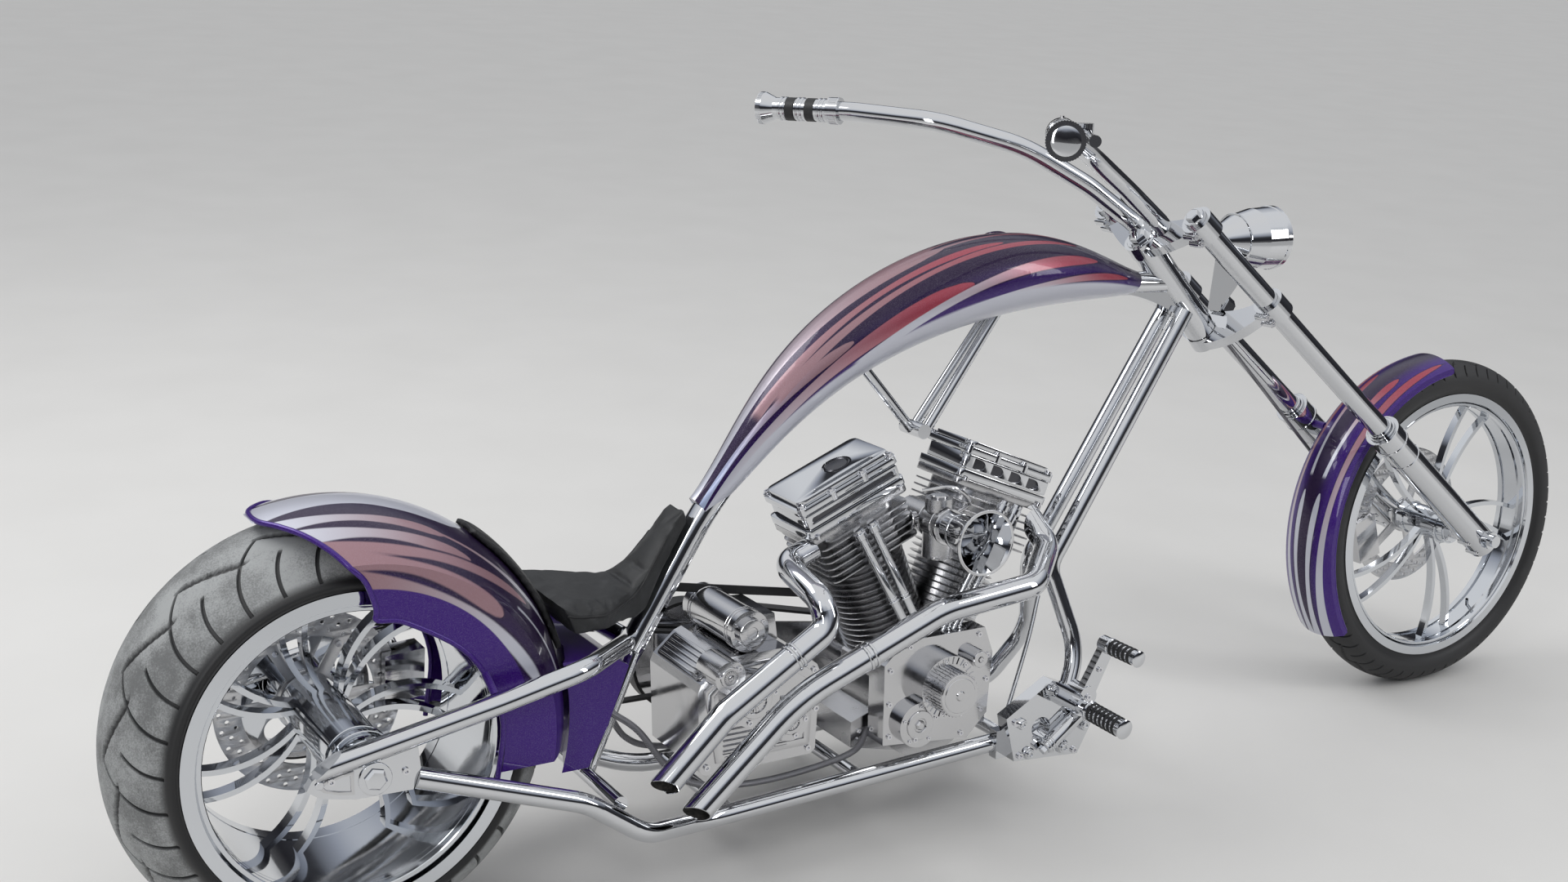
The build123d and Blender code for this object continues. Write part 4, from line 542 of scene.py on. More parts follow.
rear_rubber = rubber("dusty_tyre", (0.012, 0.012, 0.013), (0.36, 0.37, 0.37), 0.62, REAR_AXLE, 0.262)
front_rubber = rubber("dark_tyre", (0.010, 0.010, 0.011), (0.045, 0.045, 0.046), 0.35, FRONT_AXLE, 0.292)
belt_rubber = rubber("belt_rubber", (0.014, 0.014, 0.015), (0.06, 0.06, 0.06), 0.3)
print("rubber ready")

# %% Leather
def leather(name, dark, worn):
    finish = Finish(name, dark, 0.0, 0.5, Specular_IOR_Level=0.4)
    pebbles = place(finish.tree, "ShaderNodeTexVoronoi", {"Vector": finish.where, "Scale": 520.0},
                    feature="DISTANCE_TO_EDGE")
    creases = finish.noise(38.0, 5.0, 0.7)
    rub = creases.step(0.45, 0.8)
    finish.feed("Base Color", mix(finish.tree, rub, dark, worn))
    finish.feed("Roughness", rub.between(0.42, 0.6))
    grain = Number(finish.tree, pebbles.outputs["Distance"]).step(0.0, 0.18)
    finish.relief(grain * 0.6 + creases * 0.6, 0.35, 0.0008)
    return finish.material


seat_leather = leather("seat_leather", (0.020, 0.021, 0.022), (0.045, 0.047, 0.049))
# a darker copy of the seat's leather, as painted shade, for the tail pad and the welt
leather_in_painted_shade = leather("leather_in_painted_shade", (0.012, 0.012, 0.013), (0.03, 0.03, 0.032))
print("leather ready")

# %% Woven line, lamp glass and soot
woven = Finish("braided_line", (0.16, 0.16, 0.17), 0.8, 0.4)
braid = place(woven.tree, "ShaderNodeTexWave", {"Vector": woven.where, "Scale": 340.0, "Distortion": 1.0},
              bands_direction="DIAGONAL").outputs["Fac"]
woven.feed("Base Color", mix(woven.tree, braid, (0.10, 0.10, 0.11), (0.34, 0.34, 0.36)))
woven.relief(braid, 0.4, 0.0006)
line_braid = woven.material

glass = Finish("lamp_glass", (0.95, 0.97, 1.0), 0.0, 0.03, Transmission_Weight=1.0, IOR=1.45)
flutes = place(glass.tree, "ShaderNodeTexWave", {"Vector": glass.where, "Scale": 60.0}, bands_direction="Y")
glass.relief(flutes.outputs["Fac"], 0.15, 0.001)
lamp_glass = glass.material

sooty = Finish("pipe_soot", (0.012, 0.011, 0.010), 0.3, 0.7)
soot_share = sooty.noise(120.0, 3.0).step(0.4, 0.7)
sooty.feed("Base Color", mix(sooty.tree, soot_share, (0.010, 0.010, 0.009), (0.05, 0.045, 0.04)))
soot = sooty.material
print("line, glass and soot ready")

# %% [markdown]
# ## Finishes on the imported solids
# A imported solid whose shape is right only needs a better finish. Every node is named once here,
# so none is left with a flat colour.

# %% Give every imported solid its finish
FINISHES = [
    (chrome, "frame_backbone head_bearings down_tubes lower_rails upper_rails seat_posts axle_plate_left "
             "axle_plate_right motor_struts rocker_box_rear rocker_box_front pushrod_tubes intake_trumpet "
             "exhaust_rear exhaust_front rear_axle foot_control_left foot_control_right top_yoke lower_yoke "
             "fork_leg_left fork_leg_right handlebar_left handlebar_right grip_left grip_right brake_lever "
             "headlight front_axle side_stand"),
    (chrome_deep, "front_rim rear_rim rear_pulley"),
    (alloy, "cam_cover starter_motor transmission primary_drive rear_caliper front_caliper"),
    (cast_alloy, "crankcase cylinder_rear cylinder_front carburettor"),
    (rear_disc_steel, "rear_disc"), (front_disc_steel, "front_disc"),
    (rear_flames, "rear_fender"), (tank_flames, "fuel_tank"), (front_flames, "front_fender"),
    (violet_candy, "oil_tank"), (seat_leather, "seat"), (leather_in_painted_shade, "tail_pad"),
    (belt_rubber, "primary_belt final_belt"), (rear_rubber, "rear_tyre"), (front_rubber, "front_tyre"),
    (line_braid, "brake_line"),
]
dressed = set()
for finish, names in FINISHES:
    for node_name in names.split():
        for slot_on_node in frame["nodes"][node_name].material_slots:
            slot_on_node.material = finish
        dressed.add(node_name)
print("dressed", len(dressed), "left bare", sorted(set(frame["nodes"]) - dressed))

# %% [markdown]
# ## Drawing solid pieces
# Most small parts of a machine are turned, bent from rod or cut from plate. So three helpers draw
# those: `lathe`, `bar` and `cut_plate`. Each gives plain corners and faces in millimetres, upright,
# and `add_piece` welds them, carries them to the parked machine and names the body that they
# ride on.

# %% Turned and bent shapes
ORIGIN, UP, AHEAD = (0, 0, 0), Vector((0, 0, 1)), Vector((1, 0, 0))
OUT_RIGHT, OUT_LEFT = Vector((0, -1, 0)), Vector((0, 1, 0))


def square_frame(axis):
    """An axis and two directions square to it."""
    axis = Vector(axis).normalized()
    first = axis.orthogonal().normalized()
    return axis, first, axis.cross(first)


def spokes(first, second, steps):
    """Directions all round, starting at the first of two square ones."""
    turns = [FULL_TURN * n / steps for n in range(steps)]
    return [first * math.cos(turn) + second * math.sin(turn) for turn in turns]


def skin(rows, steps, closed=False):
    """Faces between rows of corner numbers; a row of one corner is a pole."""
    faces = []
    for low, high in list(zip(rows, rows[1:])) + ([(rows[-1], rows[0])] if closed else []):
        for number in range(steps):
            after = (number + 1) % steps
            face = [low[number % len(low)], low[after % len(low)],
                    high[after % len(high)], high[number % len(high)]]
            face = list(dict.fromkeys(face))
            if len(face) > 2:
                faces.append(face)
    return faces


def lathe(profile, origin, axis, steps=32, closed=False):
    """Turn (radius, height) pairs about an axis through origin; a radius of 0 is a pole."""
    axis, first, second = square_frame(axis)
    around = spokes(first, second, steps)
    corners, rows = [], []
    for radius, along in profile:
        count = steps if radius else 1
        rows.append(range(len(corners), len(corners) + count))
        corners += [Vector(origin) + axis * along + spoke * radius for spoke in around[:count]]
    return corners, skin(rows, steps, closed)


def stub(start, end, radius, ease=1.0, steps=24):
    """A round bar with eased ends."""
    start, end = Vector(start), Vector(end)
    length = (end - start).length
    side = [(radius - ease, 0), (radius, ease), (radius, length - ease), (radius - ease, length)]
    return lathe([(0, 0), *side, (0, length)], start, end - start, steps)


def ring(centre, axis, inner, outer, low, high, ease=0.8, steps=48):
    """A flat ring or hub plate with eased corners, from low to high along its axis."""
    profile = [(inner, low), (outer - ease, low), (outer, low + ease), (outer, high - ease),
               (outer - ease, high), (inner + ease, high), (inner, high - ease)]
    return lathe(profile, centre, axis, steps, closed=True)


def rings(centre, axis, rows, *sizes):
    """Several rings on one axis: a row holds inner and outer radius, low and high."""
    return [ring(centre, axis, *row, *sizes) for row in rows]


def bar(points, radius, steps=12):
    """A round rod along a smooth line through the points."""
    points = [Vector(p) for p in points]
    first = square_frame(points[1] - points[0])[1]
    corners = [points[0]]
    for number, point in enumerate(points):
        before, after = points[max(number - 1, 0)], points[min(number + 1, len(points) - 1)]
        heading = (after - before).normalized()
        first = (first - heading * first.dot(heading)).normalized()
        corners += [point + spoke * radius for spoke in spokes(first, heading.cross(first), steps)]
    rows = [range(start, start + steps) for start in range(1, len(corners), steps)]
    return corners + [points[-1]], skin([[0], *rows, [len(corners)]], steps)


def smooth_line(points, steps=8):
    """More points on a soft line through a few, end to end."""
    points = [Vector(p) for p in points]
    run_on = [points[0] * 2 - points[1]] + points + [points[-1] * 2 - points[-2]]
    line = []
    for a, b, c, d in zip(run_on, run_on[1:], run_on[2:], run_on[3:]):
        for number in range(steps):
            t = number / steps
            line.append(0.5 * ((2 * b) + (c - a) * t + (2 * a - 5 * b + 4 * c - d) * t * t
                               + (3 * b - a - 3 * c + d) * t ** 3))
    return line + [points[-1]]


def mirrored(point, side):
    """A point of the left side, put on the side asked for: -1 is the right, 1 the left."""
    return Vector((point[0], side * point[1], point[2]))


print("turned and bent shapes ready")

# %% Plates
def circle_marks(x, z, radius, count, turn=0.0):
    """Places on a circle, the first at a turn in degrees."""
    turns = [math.radians(turn) + FULL_TURN * n / count for n in range(count)]
    return [(x + radius * math.cos(angle), z + radius * math.sin(angle)) for angle in turns]


def rounded(width, height, corner, steps=5):
    """The outline of a plate with round corners, about its middle."""
    points = []
    for quarter, (sx, sy) in enumerate(((1, 1), (-1, 1), (-1, -1), (1, -1))):
        for n in range(steps + 1):
            angle = math.pi / 2 * (quarter + n / steps)
            points.append((sx * (width / 2 - corner) + corner * math.cos(angle),
                           sy * (height / 2 - corner) + corner * math.sin(angle)))
    return points


def cut_plate(outlines, thick, ease=0.6):
    """A plate cut to the first outline, with the others as holes, its edges eased. It lies on z = 0."""
    curve = bpy.data.curves.new("plate", "CURVE")
    curve.dimensions, curve.fill_mode = "2D", "BOTH"
    curve.extrude, curve.bevel_depth, curve.offset = thick / 2 - ease, ease, -ease
    curve.bevel_resolution = 1
    for outline_points in outlines:
        spline = curve.splines.new("POLY")
        spline.points.add(len(outline_points) - 1)
        for point, (x, y) in zip(spline.points, outline_points):
            point.co = (x, y, 0, 1)
        spline.use_cyclic_u = True
    holder = bpy.data.objects.new("plate", curve)
    corners, faces = as_shape(bpy.data.meshes.new_from_object(holder))
    bpy.data.objects.remove(holder)
    bpy.data.curves.remove(curve)
    return [corner + UP * (thick / 2) for corner in corners], faces


def frame_at(origin, x_dir, z_dir):
    """The matrix of a drawing plane: origin, its first axis and its normal."""
    x_axis, z_axis = Vector(x_dir).normalized(), Vector(z_dir).normalized()
    axes = Matrix((x_axis, z_axis.cross(x_axis), z_axis)).transposed()
    return Matrix.Translation(origin) @ axes.to_4x4()


def moved(matrix, shape):
    corners, faces = shape
    return [matrix @ Vector(c) for c in corners], faces


def slab(where, width, depth, corner, thick, ease, holes=()):
    """A plate with round corners and holes, laid on a drawing plane or at a height."""
    plane = where if isinstance(where, Matrix) else Matrix.Translation(UP * where)
    return moved(plane, cut_plate([rounded(width, depth, corner), *holes], thick, ease))


def as_mesh(shape):
    mesh = bpy.data.meshes.new("shape")
    mesh.from_pydata(shape[0], [], shape[1])
    return mesh


def as_shape(mesh):
    return [v.co.copy() for v in mesh.vertices], [list(p.vertices) for p in mesh.polygons]


print("plates ready")

# %% Weld, carry and name
@contextmanager
def opened(mesh):
    """A mesh open for editing, written back at the end."""
    shell = bmesh.new()
    shell.from_mesh(mesh)
    yield shell
    shell.to_mesh(mesh)
    shell.free()


def evaluated(holder):
    """The plain mesh that an object's modifiers make."""
    return bpy.data.meshes.new_from_object(holder.evaluated_get(bpy.context.evaluated_depsgraph_get()))


def add_piece(name, shapes, finish, body, replaces=(), weld=0.01, matrix=STAND, sharp=35.0):
    """Make one finished piece from (corners, faces) shapes, or from a mesh that is already plain."""
    mesh = shapes
    if not isinstance(shapes, bpy.types.Mesh):
        corners, faces = [], []
        for some_corners, some_faces in shapes:
            faces += [[len(corners) + number for number in face] for face in some_faces]
            corners += some_corners
        mesh = as_mesh((corners, faces))
    with opened(mesh) as shell:
        bmesh.ops.remove_doubles(shell, verts=shell.verts, dist=weld)
        bmesh.ops.recalc_face_normals(shell, faces=shell.faces)
    mesh.name = name
    mesh.transform(matrix)
    mesh.materials.clear()
    mesh.materials.append(finish)
    mesh.shade_smooth()
    mesh.set_sharp_from_angle(angle=math.radians(sharp))
    piece = put(name, mesh)
    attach(piece, body)
    if replaces:
        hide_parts(*replaces)
    print(name, sum(len(p.vertices) - 2 for p in mesh.polygons), "triangles")
    return piece


def grown(tree, mesh, values):
    """Run a Geometry Nodes tree on a mesh and give back the plain mesh that it makes."""
    holder = put("grown", mesh)
    modifier = holder.modifiers.new("grow", "NODES")
    modifier.node_group = tree
    for item in tree.interface.items_tree:
        if item.item_type == "SOCKET" and item.in_out == "INPUT" and item.name != "Geometry":
            modifier[item.identifier] = values[item.name] if item.name in values else item.default_value
    plain = evaluated(holder)
    bpy.data.objects.remove(holder)
    return plain


def growing_tree(name, inputs):
    """A Geometry Nodes tree that takes geometry and these inputs, ready to fill."""
    return node_group(name, {"Geometry": "Geometry", **inputs}, kind="GeometryNodeTree")


def named(tree, name, data_type="FLOAT"):
    """What each point carries under a name."""
    inputs = {"Name": name}
    return place(tree, "GeometryNodeInputNamedAttribute", inputs, data_type=data_type).outputs["Attribute"]


def made_real(tree, geometry, material, geometry_out):
    """Make a tree's copies real, give them their material and put them out."""
    real = place(tree, "GeometryNodeRealizeInstances", {"Geometry": geometry})
    plug(tree, geometry_out["Geometry"],
         place(tree, "GeometryNodeSetMaterial", {"Geometry": real, "Material": material}))
    print("tree", tree.name)


print("piece helpers ready")

# %% [markdown]
# ## Tyres
# A tyre's tread is moulded: the same grooves come again pitch after pitch, mirrored and shifted by
# half a pitch on the other side. The carcass is one turned grid whose columns already bend the
# way the main groove bends, so the groove's walls stay crisp with few faces. A Geometry Nodes
# tree then reads each point's place in its pitch and sinks the grooves, and it stores their depth
# so that the finish keeps the groove floors black.

# %% The tree that sinks the tread
GROOVE_WALL = 1.3               # how far the wall of a groove slopes, in millimetres
LINK_LOW, LINK_HIGH = 0.18, 0.46        # where the slanted link begins and ends across the crown
LINK_SLANT = 0.30

tread, tread_in, tread_out = growing_tree(
    "tread_grooves", {"Depth": 5.0, "Pitch Length": 130.0, "Groove": 4.5, "Tyre Rubber": "Material"})
pitch, across = Number(tread, named(tread, "pitch")), Number(tread, named(tread, "across"))
beside = across.size()
half_groove = Number(tread, tread_in["Groove"]) * 0.5


def near_line(offset_in_pitches, scale):
    """1 on a groove's floor and 0 off its wall, from a distance in pitches."""
    wrapped = (offset_in_pitches + 0.5).math("FRACT") - 0.5
    off_line = wrapped.size() * tread_in["Pitch Length"] * scale
    return off_line.step(half_groove + GROOVE_WALL, half_groove)


def span(low, high):
    return beside.step(low, low + 0.02) * beside.step(high + 0.02, high)


main_groove = near_line(pitch, 1.0) * span(LINK_LOW - 0.01, 1.10)
link_line = pitch + (beside * -1.0 + LINK_HIGH) / (LINK_HIGH - LINK_LOW)
link_groove = near_line(link_line, LINK_SLANT) * span(LINK_LOW - 0.01, LINK_HIGH)
short_groove = near_line(pitch - 0.5, 1.0) * span(0.50, 1.0)
sunk = main_groove.math("MAXIMUM", link_groove).math("MAXIMUM", short_groove)
normal = place(tread, "GeometryNodeInputNormal")
inward = place(tread, "ShaderNodeVectorMath", {0: normal, "Scale": sunk * tread_in["Depth"] * -1.0},
               operation="SCALE")
pushed = place(tread, "GeometryNodeSetPosition", {"Geometry": tread_in["Geometry"], "Offset": inward})
kept = place(tread, "GeometryNodeStoreNamedAttribute", {"Geometry": pushed, "Name": "groove", "Value": sunk},
             data_type="FLOAT", domain="POINT")
made_real(tread, kept, tread_in["Tyre Rubber"], tread_out)

# %% The carcass
SIDEWALL_STEPS = 8
FLANGE_GAP, BEAD_INSET = 1.2, 6.2       # the rubber stands off the rim's flange, and sits inside it
BEAD_GAP = 0.8
BULGE_RATE = 1.15               # the sidewall's bulge is over a little before the flange
INSIDE = 3.0                    # a place across that no groove reaches


def tyre_section(radius, half, crown_r, shoulder_y, wall, flange_r, bead_r, rim_half, rows):
    """A tyre's outline: radius, place sideways, and share of the way from crown to shoulder."""
    reach = math.asin(shoulder_y / crown_r)
    crown = []
    for n in range(-rows, rows + 1):
        turn = reach * n / rows
        crown.append((radius - crown_r + crown_r * math.cos(turn), crown_r * math.sin(turn), n / rows))
    shoulder_r, foot_r, foot_y = crown[-1][0], flange_r + FLANGE_GAP, rim_half - 1
    flank = []                  # a bulged sidewall, from the shoulder to the flange
    for t in (n / SIDEWALL_STEPS for n in range(1, SIDEWALL_STEPS + 1)):
        bulge = (half - 1 - max(shoulder_y, foot_y)) * math.sin(math.pi * min(t * BULGE_RATE, 1.0))
        sideways = shoulder_y + (foot_y - shoulder_y) * t + bulge
        flank.append((shoulder_r + (foot_r - shoulder_r) * t, min(sideways, half - 0.5), 1 + t))
    bead_y = rim_half - BEAD_INSET
    inner = [(bead_r + BEAD_GAP, bead_y), (bead_r + BEAD_GAP, bead_y - wall),
             ((shoulder_r + flange_r - 3) / 2, half - 2 * wall)]
    inside = [(foot_r, bead_y), *inner, (radius - 2 * wall, 0.0)]
    inside += [(r, -y) for r, y in reversed(inner)] + [(foot_r, -bead_y)]
    return [(r, -y, -a) for r, y, a in reversed(flank)] + crown + flank + [(r, y, INSIDE) for r, y in inside]


def tyre_carcass(section, centre, pitches, columns, bend):
    """A section turned to a grid, with each point's place in its pitch and across the crown."""
    steps = pitches * len(columns)
    corners, pitch_place, across_place = [], [], []
    for r, y, a in section:
        reached = min(abs(a), 1.0)
        for step in range(steps):
            p = step // len(columns) + columns[step % len(columns)]
            angle = FULL_TURN * (p + bend * reached * (2 - reached)) / pitches
            corners.append((centre[0] + r * math.sin(angle), y, centre[2] + r * math.cos(angle)))
            pitch_place.append(p + (0.5 if a < 0 else 0.0))
            across_place.append(a)
    rows = [range(start, start + steps) for start in range(0, len(corners), steps)]
    mesh = as_mesh((corners, skin(rows, steps, closed=True)))
    for name, values in (("pitch", pitch_place), ("across", across_place)):
        mesh.attributes.new(name, "FLOAT", "POINT").data.foreach_set("value", values)
    with opened(mesh) as shell:
        bmesh.ops.recalc_face_normals(shell, faces=shell.faces)
    return mesh


def pitch_columns(length, groove, plain):
    """Places of the columns in one pitch: close at the groove walls, even between them."""
    edge, top = groove / 2 / length, (groove / 2 + GROOVE_WALL) / length
    between = [top + (0.5 - 2 * top) * n / plain for n in range(1, plain)]
    half_pitch = [0.0, edge, top] + between + [0.5 - top, 0.5 - edge]
    return half_pitch + [0.5 + p for p in half_pitch]


print("carcass helpers ready")

# %% Both tyres
REAR_SECTION = dict(radius=330.0, half=134.0, crown_r=140.0, shoulder_y=117.0, wall=12.0, flange_r=246.0,
                    bead_r=228.0, rim_half=128.0, rows=58)
FRONT_SECTION = dict(radius=346.0, half=50.0, crown_r=52.0, shoulder_y=44.0, wall=6.0, flange_r=281.0,
                     bead_r=266.0, rim_half=38.0, rows=22)
# wheel, section, axle, pitches, bend, finish, groove depth and width, columns between grooves
TYRES = [("rear", REAR_SECTION, REAR_AXLE, 16, -0.85, rear_rubber, 4.6, 5.2, 11),
         ("front", FRONT_SECTION, FRONT_AXLE, 30, -0.7, front_rubber, 3.0, 3.0, 5)]
for label, sizes, axle, pitches, bend, finish, depth, groove, plain in TYRES:
    length = FULL_TURN * sizes["radius"] / pitches
    carcass = tyre_carcass(tyre_section(**sizes), axle, pitches, pitch_columns(length, groove, plain), bend)
    values = {"Depth": depth, "Pitch Length": length, "Groove": groove, "Tyre Rubber": finish}
    add_piece(f"{label}_tread", grown(tread, carcass, values), finish, f"{label}_wheel",
              (f"{label}_tyre",), weld=0.0001, sharp=40.0)

# %% [markdown]
# ## Seat and tail pad
# Both are foam under leather. A soft cover over foam is never a block with sharp edges: it is
# full in the middle, and its sides roll over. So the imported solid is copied, remeshed evenly,
# shrunk a little and blown up by a cloth simulation, with its underside held where it rests.

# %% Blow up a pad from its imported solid
CLOTH_FRAMES, CLOTH_PRESSURE = 20, 4.0
HARDLY = 0.0000001              # a weld that joins nothing


def blow_up(holder, start, cap):
    """The mesh of a holder after a cloth run under pressure; no point goes further than cap."""
    down = PARK.to_3x3() @ -UP
    held = holder.vertex_groups.new(name="held")
    held.add([v.index for v in holder.data.vertices if v.normal.dot(down) > 0.5], 1.0, "REPLACE")
    cloth = holder.modifiers.new("cloth", "CLOTH")
    cloth.settings.quality = 6
    cloth.settings.use_pressure = True
    cloth.settings.uniform_pressure_force = CLOTH_PRESSURE
    cloth.settings.vertex_group_mass = "held"
    cloth.settings.effector_weights.gravity = 0.0
    cloth.collision_settings.use_collision = False
    for number in range(1, CLOTH_FRAMES + 1):
        bpy.context.scene.frame_set(number)
    blown = evaluated(holder)
    holder.modifiers.clear()
    bpy.context.scene.frame_set(1)
    for vertex, spot in zip(blown.vertices, start):
        step = vertex.co - spot
        if step.length > cap:
            vertex.co = spot + step * (cap / step.length)
    return blown


def padded_piece(node_name, finish, voxel, shrink, cap, rounds):
    """A soft cover over a packed pad; voxel, shrink and cap are in metres."""
    solid = frame["nodes"][node_name].data.copy()
    with opened(solid) as shell:
        bmesh.ops.remove_doubles(shell, verts=shell.verts, dist=0.00001)
    holder = put("pad", solid)
    remesh = holder.modifiers.new("even", "REMESH")
    remesh.mode, remesh.voxel_size = "VOXEL", voxel
    soften = holder.modifiers.new("soften", "SMOOTH")
    soften.factor, soften.iterations = 0.5, rounds
    mesh = evaluated(holder)
    holder.modifiers.clear()
    holder.data = mesh
    start = [v.co - v.normal * shrink for v in mesh.vertices]
    for vertex, spot in zip(mesh.vertices, start):
        vertex.co = spot
    mesh = blow_up(holder, start, cap)
    bpy.data.objects.remove(holder)
    holder = put("pad", mesh)
    holder.modifiers.new("fine", "SUBSURF").levels = 1
    fine = evaluated(holder)
    bpy.data.objects.remove(holder)
    piece = add_piece(f"{node_name}_cover", fine, finish, "chassis", (node_name,),
                      weld=HARDLY, matrix=Matrix.Identity(4), sharp=180.0)


padded_piece("seat", seat_leather, 0.005, 0.003, 0.008, 12)
# the tail pad takes the seat's leather made darker as painted shade
padded_piece("tail_pad", leather_in_painted_shade, 0.004, 0.001, 0.005, 4)

# %% [markdown]
# ## Screws
# A machine like this is held by hundreds of socket screws. One screw is drawn inside a Geometry
# Nodes tree and set on every marked point. Each point carries the way its screw looks out and how
# large its head is, so one tree serves covers, discs, clamps and plates alike.

# %% The tree that sets screws
screws, screws_in, screws_out = growing_tree(
    "socket_screws", {"Sides": 14, "Height": 0.7, "Socket": 0.52, "Screw Metal": "Material"})
screw_height = Number(screws, screws_in["Height"])
screw_body = place(screws, "GeometryNodeMeshCylinder", {
    "Vertices": screws_in["Sides"], "Radius": 1.0, "Depth": screw_height * 2.0})
facing = split(screws, place(screws, "GeometryNodeInputNormal"))[2]
top_only = place(screws, "FunctionNodeCompare", {0: facing, 1: 0.5}, data_type="FLOAT",
                 operation="GREATER_THAN")
inset = place(screws, "GeometryNodeExtrudeMesh", {
    "Mesh": screw_body, "Selection": top_only, "Offset Scale": 0.0})
narrowed = place(screws, "GeometryNodeScaleElements", {
    "Geometry": inset.outputs["Mesh"], "Selection": inset.outputs["Top"], "Scale": screws_in["Socket"]})
socket_cut = place(screws, "GeometryNodeExtrudeMesh", {
    "Mesh": narrowed, "Selection": inset.outputs["Top"], "Offset Scale": screw_height * -0.75})
turned = place(screws, "FunctionNodeAlignRotationToVector", {"Vector": named(screws, "aim", "FLOAT_VECTOR")},
               axis="Z")
placed_screws = place(screws, "GeometryNodeInstanceOnPoints", {
    "Points": screws_in["Geometry"], "Instance": socket_cut.outputs["Mesh"], "Rotation": turned,
    "Scale": named(screws, "size")})
made_real(screws, placed_screws, screws_in["Screw Metal"], screws_out)


def add_screws(name, rows, body):
    """Set a screw for each row: its place, the way it looks out and the radius of its head."""
    mesh = as_mesh(([row[0] for row in rows], []))
    aims = mesh.attributes.new("aim", "FLOAT_VECTOR", "POINT")
    aims.data.foreach_set("vector", [number for row in rows for number in row[1]])
    sizes = mesh.attributes.new("size", "FLOAT", "POINT")
    sizes.data.foreach_set("value", [row[2] for row in rows])
    add_piece(name, grown(screws, mesh, {"Screw Metal": screw_steel}), screw_steel, body)


# %% [markdown]
# ## The open engine
# Air cools this engine, so its barrels and heads carry thin fins, and every rod and cover stands
# in the open. A tree stacks the fins: one plate of fin, repeated along the barrel.

# %% The tree that stacks fins
fins, fins_in, fins_out = growing_tree(
    "cooling_fins", {"Count": 14, "Pitch": 11.0, "Start": 120.0, "Fin Metal": "Material"})
fin_start = place(fins, "ShaderNodeCombineXYZ", {"Z": fins_in["Start"]})
fin_step = place(fins, "ShaderNodeCombineXYZ", {"Z": fins_in["Pitch"]})
fin_line = place(fins, "GeometryNodeMeshLine", {"Count": fins_in["Count"], "Start Location": fin_start,
                                                "Offset": fin_step}, mode="OFFSET")
fin_stack = place(fins, "GeometryNodeInstanceOnPoints", {"Points": fin_line, "Instance": fins_in["Geometry"]})
made_real(fins, fin_stack, fins_in["Fin Metal"], fins_out)


def stack(shape, count, pitch_mm, start_mm):
    values = {"Count": count, "Pitch": pitch_mm, "Start": start_mm, "Fin Metal": cast_alloy}
    return as_shape(grown(fins, as_mesh(shape), values))


# %% Barrels and heads
CRANK = (1027.0, 0.0, 215.0)
VEE = math.radians(22.5)
VEE_SIDES = [("rear", -1), ("front", 1)]
HEAD_TOP = 384.0
BISECTOR_GAP = 0.6              # between each cylinder's fins and the plane between both


def vee_frame(side):
    """The drawing plane of one cylinder, with its axis as z and the crank as origin."""
    lean = math.sin(VEE) * side
    return frame_at(CRANK, (math.cos(VEE), 0, -lean), (lean, 0, math.cos(VEE)))


def cut_at_bisector(shape, side):
    """Keep the half of a barrel that stands on its own side of the vee."""
    mesh = as_mesh(shape)
    with opened(mesh) as shell:
        bmesh.ops.remove_doubles(shell, verts=shell.verts, dist=0.001)
        bmesh.ops.bisect_plane(shell, geom=shell.verts[:] + shell.edges[:] + shell.faces[:], dist=0.0001,
                               plane_co=(CRANK[0] + BISECTOR_GAP * side, 0, 0), plane_no=(-side, 0, 0),
                               clear_outer=True)
        bmesh.ops.holes_fill(shell, edges=[e for e in shell.edges if e.is_boundary], sides=0)
    return as_shape(mesh)


barrel = lathe([(0, 112), (62, 112), (62, 292), (0, 292)], ORIGIN, UP, 40)
fin = lathe([(56, -1.4), (75.6, -1.1), (77.5, 0), (75.6, 1.1), (56, 1.4)], ORIGIN, UP, 56, closed=True)
head_fin = slab(0, 184, 146, 16, 3.2, 0.8)
round_parts = [barrel, stack(fin, 14, 11.6, 128.0), stack(head_fin, 6, 12.6, 292.5)]
head_blocks = [slab(292, 150, 116, 24, 80, 2.0), slab(371, 203, 129, 12, 12.6, 1.2)]
for label, side in VEE_SIDES:
    place_vee = vee_frame(side)
    solid = [cut_at_bisector(moved(place_vee, shape), side) for shape in round_parts]
    solid += [moved(place_vee, shape) for shape in head_blocks]
    add_piece(f"finned_cylinder_{label}", solid, cast_alloy, "chassis",
              (f"cylinder_{label}",))

# %% [markdown]
# A rocker box is milled from a block. Its lid is a flat mirror with a bare medallion and a long
# recess, and its screws stand on little posts along the edges. A plate on its right side has four
# D-shaped windows on the front box and one slot on the rear box, over a dark sheet of painted shade.

# %% Rocker boxes
POST_PLACES = [(-92, -56), (-32, -58), (32, -58), (92, -56), (92, 56), (32, 58), (-32, 58), (-92, 56)]
POST_FOOT, POST_TOP = 426.5, 441.5


def d_window(x, y, width, height):
    """A D lying on its back: a flat side and a round one."""
    points = [(x - width / 2, y + height / 2), (x - width / 2, y - height / 2)]
    return points + [(x + (width / 2) * math.cos(a), y + (height / 2) * math.sin(a))
                     for a in (math.radians(-90 + 180 * n / 12) for n in range(13))]


